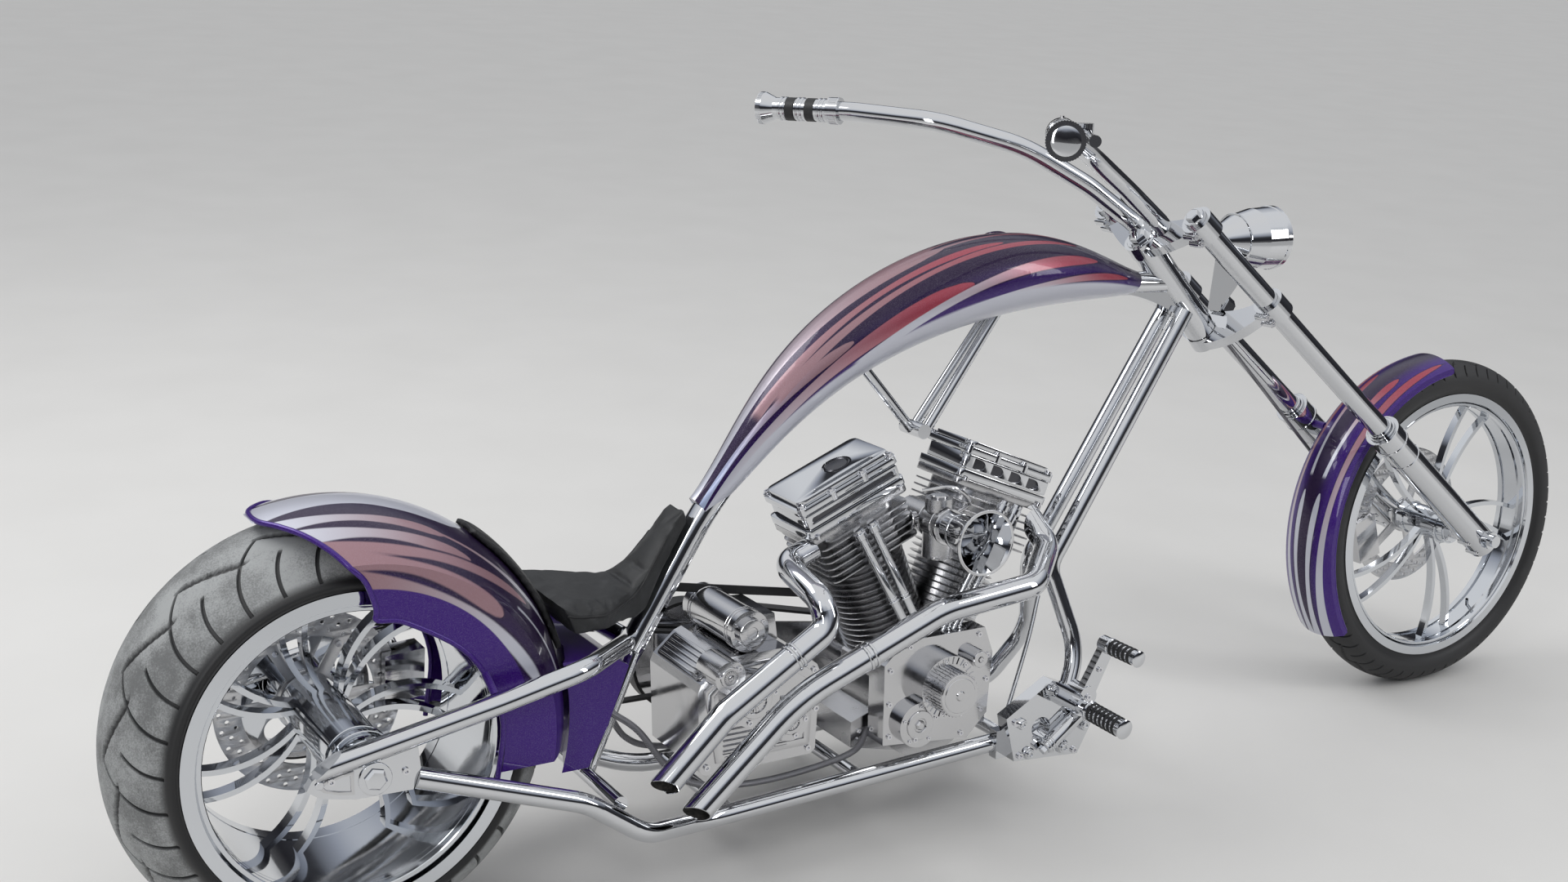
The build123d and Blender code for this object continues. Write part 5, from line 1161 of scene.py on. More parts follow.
for label, side in VEE_SIDES:
    place_vee = vee_frame(side)
    recess = [(x - side * 6, y - 44) for x, y in rounded(120, 10, 5)]
    lid_holes = [recess, circle_marks(side * -20, 0, 26, 32)]
    # height, width, depth, corner, thickness and ease of each layer, and the holes in it
    layers = [(384.4, 203.5, 129.5, 9, 15, 1.2), (400.6, 192, 118, 12, 26, 1.0),
              (427.4, 203, 129, 12, 12, 1.6), (440.0, 188, 114, 14, 9.8, 1.0, lid_holes),
              (438.5, 180, 106, 12, 4.5, 0.4)]
    shapes = [slab(*layer) for layer in layers]
    shapes += [stub((x, y, POST_FOOT), (x, y, POST_TOP), 8.2, 0.8, 18) for x, y in POST_PLACES]
    add_piece(f"rocker_cover_{label}", [moved(place_vee, shape) for shape in shapes], chrome, "chassis",
              (f"rocker_box_{label}",))
    medallion = lathe([(0, 0), (22.5, 0), (23.5, 1.0), (23.5, 6.5), (21, 8), (18.5, 6.4), (9, 7.2), (0, 7.6)],
                      (side * -20, 0, 442.5), UP, 40)
    add_piece(f"rocker_medallion_{label}", [moved(place_vee, medallion)], dark_steel_and_shade, "chassis")
    windows = [d_window(x, 0, 26, 17) for x in (-66, -24, 18, 60)] if side > 0 else [rounded(168, 9, 4)]
    flank = place_vee @ frame_at((0, -60.0, 413.5), AHEAD, OUT_RIGHT)
    # the thin dark sheet under the side plate is painted shade: the dark inside of the box, seen through the
    # windows
    side_plate, painted_shade_sheet = slab(flank, 188, 25, 4, 4.0, 0.8, windows), slab(flank, 184, 22, 4, 1.2, 0.3)
    add_piece(f"rocker_windows_{label}", [side_plate], chrome, "chassis")
    add_piece(f"rocker_shade_{label}", [painted_shade_sheet], dark_steel_and_shade, "chassis")
    out = place_vee.to_3x3() @ UP
    rows = [(place_vee @ Vector((x, y, POST_TOP)), out, 5.6) for x, y in POST_PLACES]
    rows += [(place_vee @ Vector((x, y, HEAD_TOP)), out, 4.4) for x in (-86, 86) for y in (-66.5, 66.5)]
    add_screws(f"rocker_screws_{label}", rows, "chassis")

# %% [markdown]
# ## Marks on the imported solids
# A screw that is placed in a side view still has to sit on what carries it. So a mark is
# given as a place in the side view, and a ray from outside finds the solid's surface under it.

# %% Find the surface under a mark
FAR = 600.0
surface_trees = {}


def surface(name, x, z, side):
    """Where a ray from the right (-1) or the left (1) first meets an object, in upright millimetres."""
    if name not in surface_trees:
        mesh = (frame["nodes"].get(name) or bpy.data.objects[name]).data
        surface_trees[name] = BVHTree.FromPolygons([DRAWN @ v.co for v in mesh.vertices],
                                                   [tuple(p.vertices) for p in mesh.polygons])
    return surface_trees[name].ray_cast(Vector((x, side * FAR, z)), Vector((0, -side, 0)))[0]


def screws_on(node_name, side, radius, marks):
    """Screws that look out to one side of the machine, for those marks that have a surface."""
    hits = [surface(node_name, x, z, side) for x, z in marks]
    return [(hit, (0, side, 0), radius) for hit in hits if hit]


FX, FZ = FRONT_AXLE[0], FRONT_AXLE[2]
RZ = REAR_AXLE[2]
CASE_MARKS = [
    ("cam_cover", -1, 4.6, [(917, 182), (958, 176), (1066, 161), (1107, 198), (1116, 252), (1117, 296),
                            (1098, 337), (955, 337), (917, 300), (916, 240)]),
    ("cam_cover", -1, 3.6, circle_marks(1016, 265, 47, 7, 100)),
    ("cam_cover", -1, 3.2, circle_marks(968, 200, 33, 5, 160)),
    ("crankcase", 1, 4.6, circle_marks(1027, 215, 84, 9, 10)),
    ("crankcase", -1, 4.6, [(893, 176), (893, 160), (1148, 158)]),
    ("transmission", -1, 4.6, circle_marks(660, 292, 38, 6, 15) + circle_marks(730, 242, 27, 5)
     + circle_marks(606, 346, 20, 3, 40)),
    ("transmission", -1, 5.2, [(582, 184), (640, 180), (772, 182), (786, 250), (782, 318), (724, 356),
                               (640, 356), (578, 250)]),
    ("transmission", 1, 5.2, [(582, 184), (640, 180), (772, 182), (786, 300), (724, 356), (576, 300)]),
    ("starter_motor", -1, 3.4, circle_marks(663, 401, 28, 3, 30)),
    ("starter_motor", 1, 3.6, circle_marks(663, 401, 26, 4, 45)),
    ("primary_drive", 1, 5.0, circle_marks(690, 262, 46, 6)),
    ("primary_drive", 1, 4.2, circle_marks(690, 262, 84, 10, 18)),
    ("primary_drive", 1, 4.6, circle_marks(1027, 215, 44, 6, 30)),
    ("primary_drive", 1, 3.4, circle_marks(1027, 215, 16, 3)),
    ("carburettor", -1, 3.2, circle_marks(1028, 537, 24, 4, 45)),
    ("rear_caliper", 1, 5.6, [(130, 330), (164, 334), (128, 376), (164, 380)]),
]
BOTH_SIDES = [
    ("axle_plate", 5.2, [(-62, 341), (44, 336)]),
    ("foot_control", 6.0, [(1162, 116), (1282, 104), (1228, 234), (1150, 180), (1300, 150)]),
    ("foot_control", 5.0, [(1280, 216), (1304, 262)]),
]
CASE_MARKS += [(f"{node_name}_{label}", side, radius, marks) for node_name, radius, marks in BOTH_SIDES
               for label, side in (("right", -1), ("left", 1))]
WHEEL_MARKS = {
    "rear_wheel": [("rear_rim", -1, 5.4, circle_marks(0, RZ, 34, 5, 18)),
                   ("rear_pulley", 1, 5.4, circle_marks(0, RZ, 36, 5, 18)),
                   ("rear_pulley", 1, 4.0, circle_marks(0, RZ, 97, 15, 8)),
                   ("rear_disc", -1, 4.8, circle_marks(0, RZ, 98, 6))],
    "front_wheel": [("front_rim", -1, 4.4, circle_marks(FX, FZ, 24, 5, 18)),
                    ("front_disc", 1, 4.6, circle_marks(FX, FZ, 84, 5)),
                    ("front_disc", 1, 4.6, circle_marks(FX, FZ, 28, 5, 36))],
    "steering": [("front_caliper", 1, 5.0, [(2206, 340), (2232, 334), (2214, 290), (2236, 285)])],
}
add_screws("case_screws", [row for marks in CASE_MARKS for row in screws_on(*marks)], "chassis")
for body, rows in WHEEL_MARKS.items():
    add_screws(f"{body}_screws", [row for marks in rows for row in screws_on(*marks)], body)

# %% [markdown]
# ## Ribs round a middle
# Knurled caps, flutes on a cover, the teeth of a belt pulley and the fingers of a clutch are the
# same thing: one small block repeated on a ring. One tree makes them all.

# %% The tree that sets ribs on a ring
ribs, ribs_in, ribs_out = growing_tree("ribs_on_ring", {"Count": 24, "Radius": 30.0, "Rib Metal": "Material"})
rib_ring = place(ribs, "GeometryNodeMeshCircle", {"Vertices": ribs_in["Count"], "Radius": ribs_in["Radius"]})
rib_place = place(ribs, "GeometryNodeInputPosition")
rib_aim = place(ribs, "FunctionNodeAlignRotationToVector", {"Vector": rib_place}, axis="X")
rib_set = place(ribs, "GeometryNodeInstanceOnPoints", {
    "Points": rib_ring, "Instance": ribs_in["Geometry"], "Rotation": rib_aim})
made_real(ribs, rib_set, ribs_in["Rib Metal"], ribs_out)
TAPER = 0.28                    # how much narrower a rib is at its outer end


def rib_ring_at(centre, axis, count, radius, long, wide, tall):
    """Ribs on a ring: long outwards, wide along the ring, tall along the axis."""
    narrow = wide / 2 * (1 - TAPER)
    outline = [(-long / 2, -wide / 2), (long / 2, -narrow), (long / 2, narrow), (-long / 2, wide / 2)]
    corners = [(x, y, z) for z in (-tall / 2, tall / 2) for x, y in outline]
    rib = corners, [(3, 2, 1, 0), (4, 5, 6, 7)] + skin([range(4), range(4, 8)], 4)
    made = as_shape(grown(ribs, as_mesh(rib), {"Count": count, "Radius": radius, "Rib Metal": alloy}))
    return moved(frame_at(centre, square_frame(axis)[1], axis), made)


# %% Covers on the timing side
CAM, IDLER, PLUG = (1018, 0, 259), (968, 0, 200), (1086, 0, 300)
cam_shapes = [
    rib_ring_at((1018, -164, 259), OUT_RIGHT, 36, 38.2, 2.6, 3.4, 26),
    *rings(CAM, OUT_RIGHT, [(8, 31, 177.4, 180.6), (24, 37, 177.4, 179.4)]),
    lathe([(0, 177), (7, 177), (9.5, 180), (7, 183.4), (0, 184)], CAM, OUT_RIGHT, 24),
    rib_ring_at((1016, -150.3, 265), OUT_RIGHT, 30, 47, 12, 2.6, 3.0),
    ring(IDLER, OUT_RIGHT, 12, 26, 135.4, 138.4),
    rib_ring_at((968, -136.6, 200), OUT_RIGHT, 18, 19, 12, 2.2, 2.4),
    lathe([(0, 135), (9, 135), (9, 138.5), (6, 141), (0, 141.6)], IDLER, OUT_RIGHT, 6),
    ring(PLUG, OUT_RIGHT, 5, 14.5, 139.4, 142.4),
    lathe([(0, 139), (4.5, 139), (4.5, 144), (0, 144.6)], PLUG, OUT_RIGHT, 6),
]
add_piece("cam_cover_ribs", cam_shapes, alloy, "chassis")

# %% Ribs on the gearbox and bands on the starter
GEARBOX_RINGS = [((660, 0, 292), 46, 112), ((606, 0, 346), 27, 128), ((730, 0, 242), 34, 108)]
FLANK = [(-92, -74), (84, -74), (92, 52), (40, 90), (-66, 90), (-112, 52)]
STARTER = (663, 0, 401)

gear_shapes = []
for centre, radius, high in GEARBOX_RINGS:
    gear_shapes.append(ring(centre, OUT_RIGHT, radius * 0.45, radius * 0.66, high - 0.6, high + 2.6))
    gear_shapes.append(rib_ring_at(Vector(centre) + OUT_RIGHT * (high + 0.8), OUT_RIGHT, 20, radius * 0.3,
                                   radius * 0.24, 2.4, 2.6))
    gear_shapes.append(lathe([(0, high - 1), (6, high - 1), (6, high + 4), (4, high + 5), (0, high + 5)],
                             centre, OUT_RIGHT, 6))
flank_rim = cut_plate([FLANK, [(x * 0.86, z * 0.82) for x, z in FLANK]], 3.4, 1.0)
gear_shapes.append(moved(frame_at((690, -91.4, 262), AHEAD, OUT_RIGHT), flank_rim))
for z in range(196, 250, 9):                    # cooling ribs along the gearbox's lower flanks
    gear_shapes.append(slab(frame_at((672, -91.4, z), AHEAD, OUT_RIGHT), 118, 3.4, 1.6, 4.0, 0.6))
    gear_shapes.append(slab(frame_at((680, 83.6, z), AHEAD, OUT_LEFT), 130, 3.4, 1.6, 4.0, 0.6))
slope = frame_at((591.0, -4, 344.4), OUT_LEFT, (-0.66, 0, 0.75))
gear_shapes.append(slab(slope, 150, 48, 8, 4.0, 1.0))
for v in range(-18, 19, 9):                     # fins on the gearbox's slanted lid
    gear_shapes.append(slab(slope @ Matrix.Translation((0, v, 3.6)), 128, 3.4, 1.6, 4.6, 0.6))
add_piece("gearbox_ribs", gear_shapes, alloy, "chassis")
starter_shapes = [ring(STARTER, OUT_RIGHT, 10, 23, 93.4, 96.6), ring(STARTER, OUT_LEFT, 8, 33, 85.4, 88.6)]
starter_shapes += rings(STARTER, OUT_LEFT, [(33, 36.2, y, y + 3.2) for y in (-72, -64, 58, 66)], 0.6)
add_piece("starter_bands", starter_shapes, alloy, "chassis")

# %% The open belt drive on the left
BELT_FLAT = 219.5
CLUTCH, REAR_HUB = (690, 0, 262), (0, 0, RZ)
clutch_shapes = [
    rib_ring_at((690, BELT_FLAT, 262), OUT_LEFT, 56, 94.6, 3.2, 4.0, 35.0),
    rib_ring_at((1027, BELT_FLAT, 215), OUT_LEFT, 36, 60.6, 3.2, 4.0, 35.0),
    *rings(CLUTCH, OUT_LEFT, [(62, 78, 237.4, 242.0), (18, 40, 251.4, 254.6)]),
    rib_ring_at((690, 240, 262), OUT_LEFT, 18, 87, 10, 5, 4.0), ring(CRANK, OUT_LEFT, 28, 36, 237.4, 240.6),
    lathe([(0, 250), (15, 250), (15, 257), (12, 259.5), (0, 260)], CLUTCH, OUT_LEFT, 32),
    lathe([(0, 244), (13, 244), (13, 251), (10, 253), (0, 253)], CRANK, OUT_LEFT, 6),
]
clutch_shapes += [stub((x, 251, z), (x, 256.6, z), 7.2, 1.0, 20)
                  for x, z in circle_marks(690, 262, 30, 6, 30)]
add_piece("clutch_details", clutch_shapes, alloy, "chassis")
pulley_shapes = [rib_ring_at((0, 174, RZ), OUT_LEFT, 70, 106.6, 2.6, 4.4, 15.5),
                 ring(REAR_HUB, OUT_LEFT, 40, 48, 182.4, 185.4)]
pulley_shapes += rings(REAR_HUB, OUT_LEFT, [(100, 108.6, y - 1.6, y + 1.6) for y in (164.4, 183.6)], 0.5, 72)
add_piece("rear_pulley_teeth", pulley_shapes, alloy, "rear_wheel")

# %% Pushrod collars, intake and pipe clamps
COLLAR_SHARE = 0.36             # where the middle collars sit along a pushrod tube
INTAKE = (1028.0, 0.0, 537.0)
REAR_RUN = [(748, -192, 428), (560, -198, 318), (450, -198, 216)]
FRONT_RUN = [(960, -198, 424), (690, -198, 320), (505, -198, 160)]


def by_intake(x, y, z):
    """A place given from the middle of the intake."""
    return Vector(INTAKE) + Vector((x, y, z))


push_shapes = []
for _, side in VEE_SIDES:
    for spread in (-1, 1):
        top = vee_frame(side) @ Vector((spread * 14 + side * 10, -88, HEAD_TOP - 14))
        foot = Vector((1016 + side * 28 + spread * 11, -96, 338))
        run, length = (top - foot).normalized(), (top - foot).length
        middle = COLLAR_SHARE * length
        for low, high, radius in ((13, 17, 11.2), (18.5, 22, 10.4), (middle, middle + 4, 10.6),
                                  (middle + 7, middle + 10, 9.6), (length - 18, length - 6, 11.0)):
            push_shapes.append(stub(foot + run * low, foot + run * high, radius, 0.8, 20))
add_piece("pushrod_collars", push_shapes, chrome, "chassis")

INTAKE_STUBS = [                # start, end, radius, ease and sides
    ((0, -84, -66), (0, -84, -55), 7, 1.0, 6), ((0, -84, 44), (0, -84, 49.5), 15, 1.2, 28),
    ((-30, -58, 6), (-42, -58, 6), 12, 1.0, 28), ((-41, -58, 6), (-45, -58, 6), 16, 1.0, 32),
    ((26, -70, -12), (40, -70, -20), 5, 0.8, 6),
]
INTAKE_PIPE = [(44, -66, 4), (60, -90, 30), (20, -96, 62), (-26, -70, 56)]
intake_shapes = [
    ring(INTAKE, OUT_RIGHT, 52.5, 56.2, 218.6, 222.9, 1.2, 56),
    *rings(INTAKE, OUT_RIGHT, [(26.0, 31.5, 112, 118), (26.6, 29.6, 96, 99), (26.6, 29.6, 60, 63)]),
    slab(Matrix.Translation(by_intake(0, -84, -59)), 50, 50, 18, 5, 1.0),
    *[stub(by_intake(*start), by_intake(*end), *sizes) for start, end, *sizes in INTAKE_STUBS],
    lathe([(0, 146), (7, 146), (9, 150), (6, 160), (0, 163)], INTAKE, OUT_RIGHT, 24),
    bar(smooth_line([by_intake(*point) for point in INTAKE_PIPE]), 3.2, 10),
]
add_piece("intake_details", intake_shapes, alloy, "chassis")

clamp_shapes = []
for run, shares in ((REAR_RUN, (0.32, 0.36)), (FRONT_RUN, (0.50, 0.54))):
    a, b = Vector(run[0]), Vector(run[1])
    clamp_shapes += [ring(a.lerp(b, share), b - a, 21.6, 24.4, -2.4, 2.4, 0.8, 40) for share in shares]
add_piece("pipe_clamps", clamp_shapes, chrome, "chassis")

# %% [markdown]
# ## Brakes, axles and rims
# The discs are drilled so that they stay cool and light. Each is cut from plate with its holes
# as a table of rows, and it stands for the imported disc. A polished dish rim is turned in steps.

# %% Drilled discs
def arc(radius, middle, half, steps):
    """Places on an arc, from one end to the other, half as wide to each side of its middle."""
    shares = [2 * n / steps - 1 for n in range(steps + 1)]
    return [(radius * math.cos(middle + half * t), radius * math.sin(middle + half * t)) for t in shares]


def drilled_disc(outer, inner, arms, arm_r, hub):
    """The outlines of a disc: its rim ring with drilled rows, then the carrier with its windows."""
    holes = []
    for radius, size, turn in ((outer - 9, 3.6, 0), (outer - 20, 3.6, 6), (outer - 31, 3.2, 0)):
        holes += [circle_marks(x, y, size, 10) for x, y in circle_marks(0, 0, radius, 30, turn)]
    windows = []
    for number in range(arms):
        middle = FULL_TURN * (number + 0.5) / arms
        windows.append(arc(inner, middle, math.pi / arms - 9.0 / inner, 8)
                       + arc(hub, middle, math.pi / arms - 10.0 / hub, 4)[::-1])
    return [circle_marks(0, 0, outer, 96)] + holes + windows + [circle_marks(0, 0, arm_r, 32)]


# wheel, axle, inner face, thickness, outer and inner radius, arms, bore, hub, finish
DISCS = [
    ("rear", REAR_AXLE, 118.0, 6.0, 146.0, 104.0, 6, 12.6, 50.0, rear_disc_steel),
    ("front", FRONT_AXLE, 63.0, 5.0, 146.0, 108.0, 5, 12.6, 38.0, front_disc_steel),
]
for label, axle, low, thick, outer, inner, arms, bore, hub, finish in DISCS:
    disc = moved(frame_at((axle[0], low, axle[2]), AHEAD, OUT_LEFT),
                 cut_plate(drilled_disc(outer, inner, arms, bore, hub), thick, 0.4))
    add_piece(f"{label}_disc_drilled", [disc], finish, f"{label}_wheel", (f"{label}_disc",))

# %% Steps in the dishes, rim beads, hub caps and valve
FRONT_HUB = (FX, 0, FZ)
rim_steps = rings(REAR_HUB, OUT_RIGHT, [
    (214.6, 224.5, 104, 120), (214.2, 219.5, 92, 105), (214.0, 216.6, 70, 93)], 1.2, 96)
rim_steps += rings(REAR_HUB, OUT_RIGHT, [
    (45.6, 50, 150, 158), (45.6, 48.5, 128, 133), (20, 41, 169.4, 172.6), (13, 24, 172.0, 176.0)], 1.0, 64)
rim_steps += rings(REAR_HUB, OUT_LEFT, [(214.6, 224.5, 104, 120), (214.2, 219.5, 88, 105)], 1.2, 96)
add_piece("rear_rim_steps", rim_steps, chrome_deep, "rear_wheel")
front_steps = []
for axis in (OUT_RIGHT, OUT_LEFT):
    front_steps.append(ring(FRONT_HUB, axis, 254.6, 260.5, 22, 34, 1.2, 96))
    front_steps.append(ring(FRONT_HUB, axis, 31.6, 35, 40, 46, 1.0, 48))
front_steps.append(ring(FRONT_HUB, OUT_RIGHT, 14, 29, 61.4, 64.4, 1.0, 48))
valve = [(FX + 150, 0, FZ - 210), (FX + 144, -4, FZ - 200), (FX + 138, -8, FZ - 191)]
front_steps.append(bar(smooth_line(valve, 3), 3.2, 10))
add_piece("front_rim_steps", front_steps, chrome_deep, "front_wheel")

# %% Axle nuts and caps
nut_shapes = []
for side, bore in ((-1, 1.0), (1, 13.5)):
    plate = abs(surface("axle_plate_left" if side > 0 else "axle_plate_right", -34, RZ + 2, side).y)
    nut_shapes.append(ring(REAR_HUB, (0, side, 0), bore, 24, plate - 0.4, plate + 2.6, 0.8, 48))
    nut_shapes.append(stub((-78, side * (plate - 6), RZ + 6), (-78, side * (plate + 3), RZ + 6), 6.5, 0.8, 6))
nut_shapes.append(lathe([(0, 214), (17, 214), (17, 219), (13, 223), (0, 224.5)], REAR_HUB, OUT_RIGHT, 6))
add_piece("axle_washers", nut_shapes, chrome, "chassis")

# %% [markdown]
# ## Fender edges
# A fender's edge is rolled round a wire, so that it neither cuts nor flutters. The bead follows
# the skirt, climbs the slanted end and crosses the crest, in the plain violet of the lower band.

# %% Roll the edges
REAR_FENDER = dict(radius=352.0, half=161.0, drop=58.0)
FRONT_FENDER = dict(radius=366.0, half=62.0, drop=20.0)
# along the rear fender's edge: the angle about the axle, and the depth under the crest
REAR_EDGE = [(-21, 140), (10, 140), (40, 140), (70, 140), (82, 140), (83, 130), (83.6, 118), (87, 84),
             (91, 62), (95, 38), (99, 20), (103, 8), (106.3, 1.5)]


def edge_point(axle, angle, depth, side, radius, half, drop):
    """A place on a fender's edge; above its skirt the crown bends round towards the crest."""
    if depth < drop:
        bend = (half ** 2 + drop ** 2) / (2 * drop)
        half = min(half, math.sqrt(max(bend ** 2 - (bend - depth) ** 2, 0.0)))
    turned = math.radians(angle)
    out = radius - depth
    return Vector((axle[0] + out * math.cos(turned), side * (half - 1.6), axle[2] + out * math.sin(turned)))


right_edge = [edge_point(REAR_AXLE, angle, depth, -1, **REAR_FENDER) for angle, depth in REAR_EDGE]
rear_line = smooth_line(right_edge + [mirrored(point, -1) for point in reversed(right_edge)], 6)
add_piece("rear_fender_bead", [bar(rear_line, 4.2, 12)], violet_candy, "chassis")
front_lines = [[edge_point(FRONT_AXLE, angle, 31.0, side, **FRONT_FENDER) for angle in range(98, 213, 6)]
               for side in (-1, 1)]
add_piece("front_fender_bead", [bar(line, 2.4, 10) for line in front_lines], violet_candy, "steering")

# %% [markdown]
# ## Fork, lamp and bars
# The raked fork is all turned parts: wiper rings where the tubes slide, hexagon caps on top and
# clamp bolts across the yokes. The lamp is a bullet with a bezel that holds a fluted lens.

# %% Places on the fork
FORK_LEAN, STEER_LEAN = math.radians(50.0), math.radians(42.0)
FORK_UP = Vector((-math.sin(FORK_LEAN), 0, math.cos(FORK_LEAN)))
FORK_BACK = Vector((-math.cos(FORK_LEAN), 0, -math.sin(FORK_LEAN)))
STEER_UP = Vector((-math.sin(STEER_LEAN), 0, math.cos(STEER_LEAN)))
FORK_HALF = 120.0
TOP_YOKE, LOW_YOKE = Vector((1516.6, 0, 977.3)), Vector((1678.6, 0, 797.5))


def fork_point(height, side):
    return Vector((FX, side * FORK_HALF, FZ)) + FORK_UP * height


clamp_heights = [(yoke - Vector(FRONT_HUB)).dot(FORK_UP) + more
                 for yoke, more in ((TOP_YOKE, 6), (LOW_YOKE, 4))]
print("clamps at", [round(h) for h in clamp_heights])

# %% Fork rings, caps and clamp bolts
FORK_RINGS = [(20.4, 34.4, 352, 357), (20.4, 34.4, 388, 393.5), (20.4, 27.5, 394, 399),
              (20.4, 24.2, 402, 405), (20.4, 31.4, 300, 303)]
fork_shapes, fork_screws = [], []


def cross_bolt(middle, side, half, radius, screw):
    """A bolt across the fork, with a screw in its outer end."""
    fork_shapes.append(stub(middle - OUT_LEFT * half, middle + OUT_LEFT * half, radius, 1.0, 20))
    fork_screws.append((middle + OUT_LEFT * side * half, (0, side, 0), screw))


for side in (-1, 1):
    foot = fork_point(0, side)
    fork_shapes += rings(foot, FORK_UP, FORK_RINGS, 1.0)
    top = clamp_heights[0] + 26
    fork_shapes.append(lathe([(0, top - 1), (19, top - 1), (19.5, top + 2), (19, top + 4), (0, top + 4)],
                             foot, FORK_UP, 40))
    fork_shapes.append(lathe([(0, top + 3), (13, top + 3), (13, top + 9), (11, top + 10.5), (0, top + 10.5)],
                             foot, FORK_UP, 6))
    for height in clamp_heights:
        for shift in (-10, 10):
            cross_bolt(fork_point(height, side) + FORK_BACK * 30 + FORK_UP * shift, side, 13, 6.4, 5.0)
    for shift in (-18, 18):
        cross_bolt(fork_point(shift, side) + FORK_BACK * 27, side, 12, 6.0, 4.6)
    nut = FORK_HALF + 44
    fork_shapes.append(stub((FX, side * (nut - 15.5), FZ), (FX, side * (nut - 1), FZ), 18.6, 1.5, 6))
stem = TOP_YOKE + STEER_UP * 13
stem_nut = [(0, 0), (20, 0), (20, 3), (16, 3.5), (16, 10), (13, 13.5), (0, 15)]
fork_shapes.append(lathe(stem_nut, stem, STEER_UP, 6))
fork_shapes.append(ring(stem, STEER_UP, 14, 25, 0, 2.6))
add_piece("fork_rings", fork_shapes, chrome, "steering")
add_screws("fork_screws", fork_screws, "steering")

# %% Lamp bezel, bowl and lens
LAMP = Vector((1770.0, 0, 974.0))
LENS_FRONT = [(0, 65.2), (14, 64.8), (30, 63.2), (44, 60.6), (50.4, 58.2)]
LENS_BACK = [(50.4, 57.2), (44, 58.8), (30, 61.4), (14, 63.0), (0, 63.4)]
lamp_shapes = [ring(LAMP, AHEAD, 50.5, 60.4, 47, 59.6, 2.0, 64),
               ring(LAMP, AHEAD, 50.6, 53.5, 58.8, 61.0, 0.6, 64),
               lathe([(0, 57), (13, 57), (13, 58.2), (9, 60.2), (0, 60.8)], LAMP, AHEAD, 32),
               ring(LAMP, AHEAD, 44.0, 49.8, -36.0, -33.0, 0.8, 56),
               stub(LAMP + Vector((-14, -17, -34)), LAMP + Vector((-14, 17, -34)), 7, 1, 6)]
add_piece("lamp_bezel", lamp_shapes, chrome, "steering")
add_piece("lamp_lens", [lathe(LENS_FRONT + LENS_BACK, LAMP, AHEAD, 64)], lamp_glass, "steering")

# %% Grips, collars and lever
GRIP_CORNER, GRIP_END = (1079.6, 298.0, 1203.3), (976.6, 440.0, 1204.0)         # of the left bar
PERCH = Vector((1179.6, -180.0, 1191.3))
bar_shapes, grip_rubber = [], []
for side in (-1, 1):
    corner, end = mirrored(GRIP_CORNER, side), mirrored(GRIP_END, side)
    run = (end - corner).normalized()
    bands = [(19.8, 22.0, low, low + 4.5) for low in (56, 64, 98, 106, 132, 140)]
    bar_shapes += rings(corner, run, bands, 1.2, 40)
    bar_shapes.append(rib_ring_at(corner + run * 180.6, run, 44, 28.8, 1.8, 2.6, 7.0))
    end_cap = [(0, 185), (18, 185), (22, 186.6), (17, 188.2), (0, 188.8)]
    bar_shapes.append(lathe(end_cap, corner, run, 40))
    bar_shapes.append(rib_ring_at(corner + run * 38, run, 30, 23.8, 1.4, 2.6, 14.0))
    grip_rubber += rings(corner, run, [(19.8, 21.2, low, low + 18) for low in (74, 113)], 0.8, 40)
    foot = TOP_YOKE + Vector((23, side * 24, 15))
    rise = TOP_YOKE + Vector((7, side * 42, 36)) - foot
    bar_shapes.append(ring(foot, rise, 16.6, 21.0, 8, 22, 1.4, 40))
add_piece("bar_details", bar_shapes, chrome, "steering")
add_piece("grip_bands", grip_rubber, belt_rubber, "steering")
right_corner = mirrored(GRIP_CORNER, -1)
toward = (right_corner - PERCH).normalized()
perch_screws = [(right_corner + toward * (shift - 48) + UP * 25, UP, 3.6) for shift in (-9, 9)]
add_screws("perch_screws", perch_screws, "steering")

# %% [markdown]
# ## Foot rests, rods and the bright panel
# The rests carry rubber rings for the boots. Three thin rods brace engine and controls, a black
# strap steadies the gearbox, and a bare raised panel finishes each axle plate.

# %% Foot rests
# start and end of the left one, inner and outer radius of its rubbers, and how many there are
PEGS = [((1270, 216, 199), (1273, 306, 195), 15.6, 17.6, 7),
        ((1325, 196, 302), (1329, 268, 300), 13.2, 15.0, 5)]
RUBBER_SHARE = 0.58             # of each pitch; the rest is the gap
peg_rubber, peg_metal = [], []
for start, end, inner, outer, count in PEGS:
    for side in (-1, 1):
        a, b = mirrored(start, side), mirrored(end, side)
        run, length = (b - a).normalized(), (b - a).length
        step = (length - 16) / count
        lows = [8 + n * step for n in range(count)]
        peg_rubber += rings(a, run, [(inner, outer, low, low + step * RUBBER_SHARE) for low in lows], 1.4, 36)
        peg_metal.append(lathe([(0, length - 1), (outer - 1, length - 1), (outer, length),
                                (outer - 2.5, length + 1.6), (0, length + 2.2)], a, run, 36))
        peg_metal.append(ring(a, run, inner - 1, outer + 0.6, 0, 5, 1.2, 36))
add_piece("peg_rubbers", peg_rubber, belt_rubber, "chassis")
add_piece("peg_caps", peg_metal, chrome, "chassis")

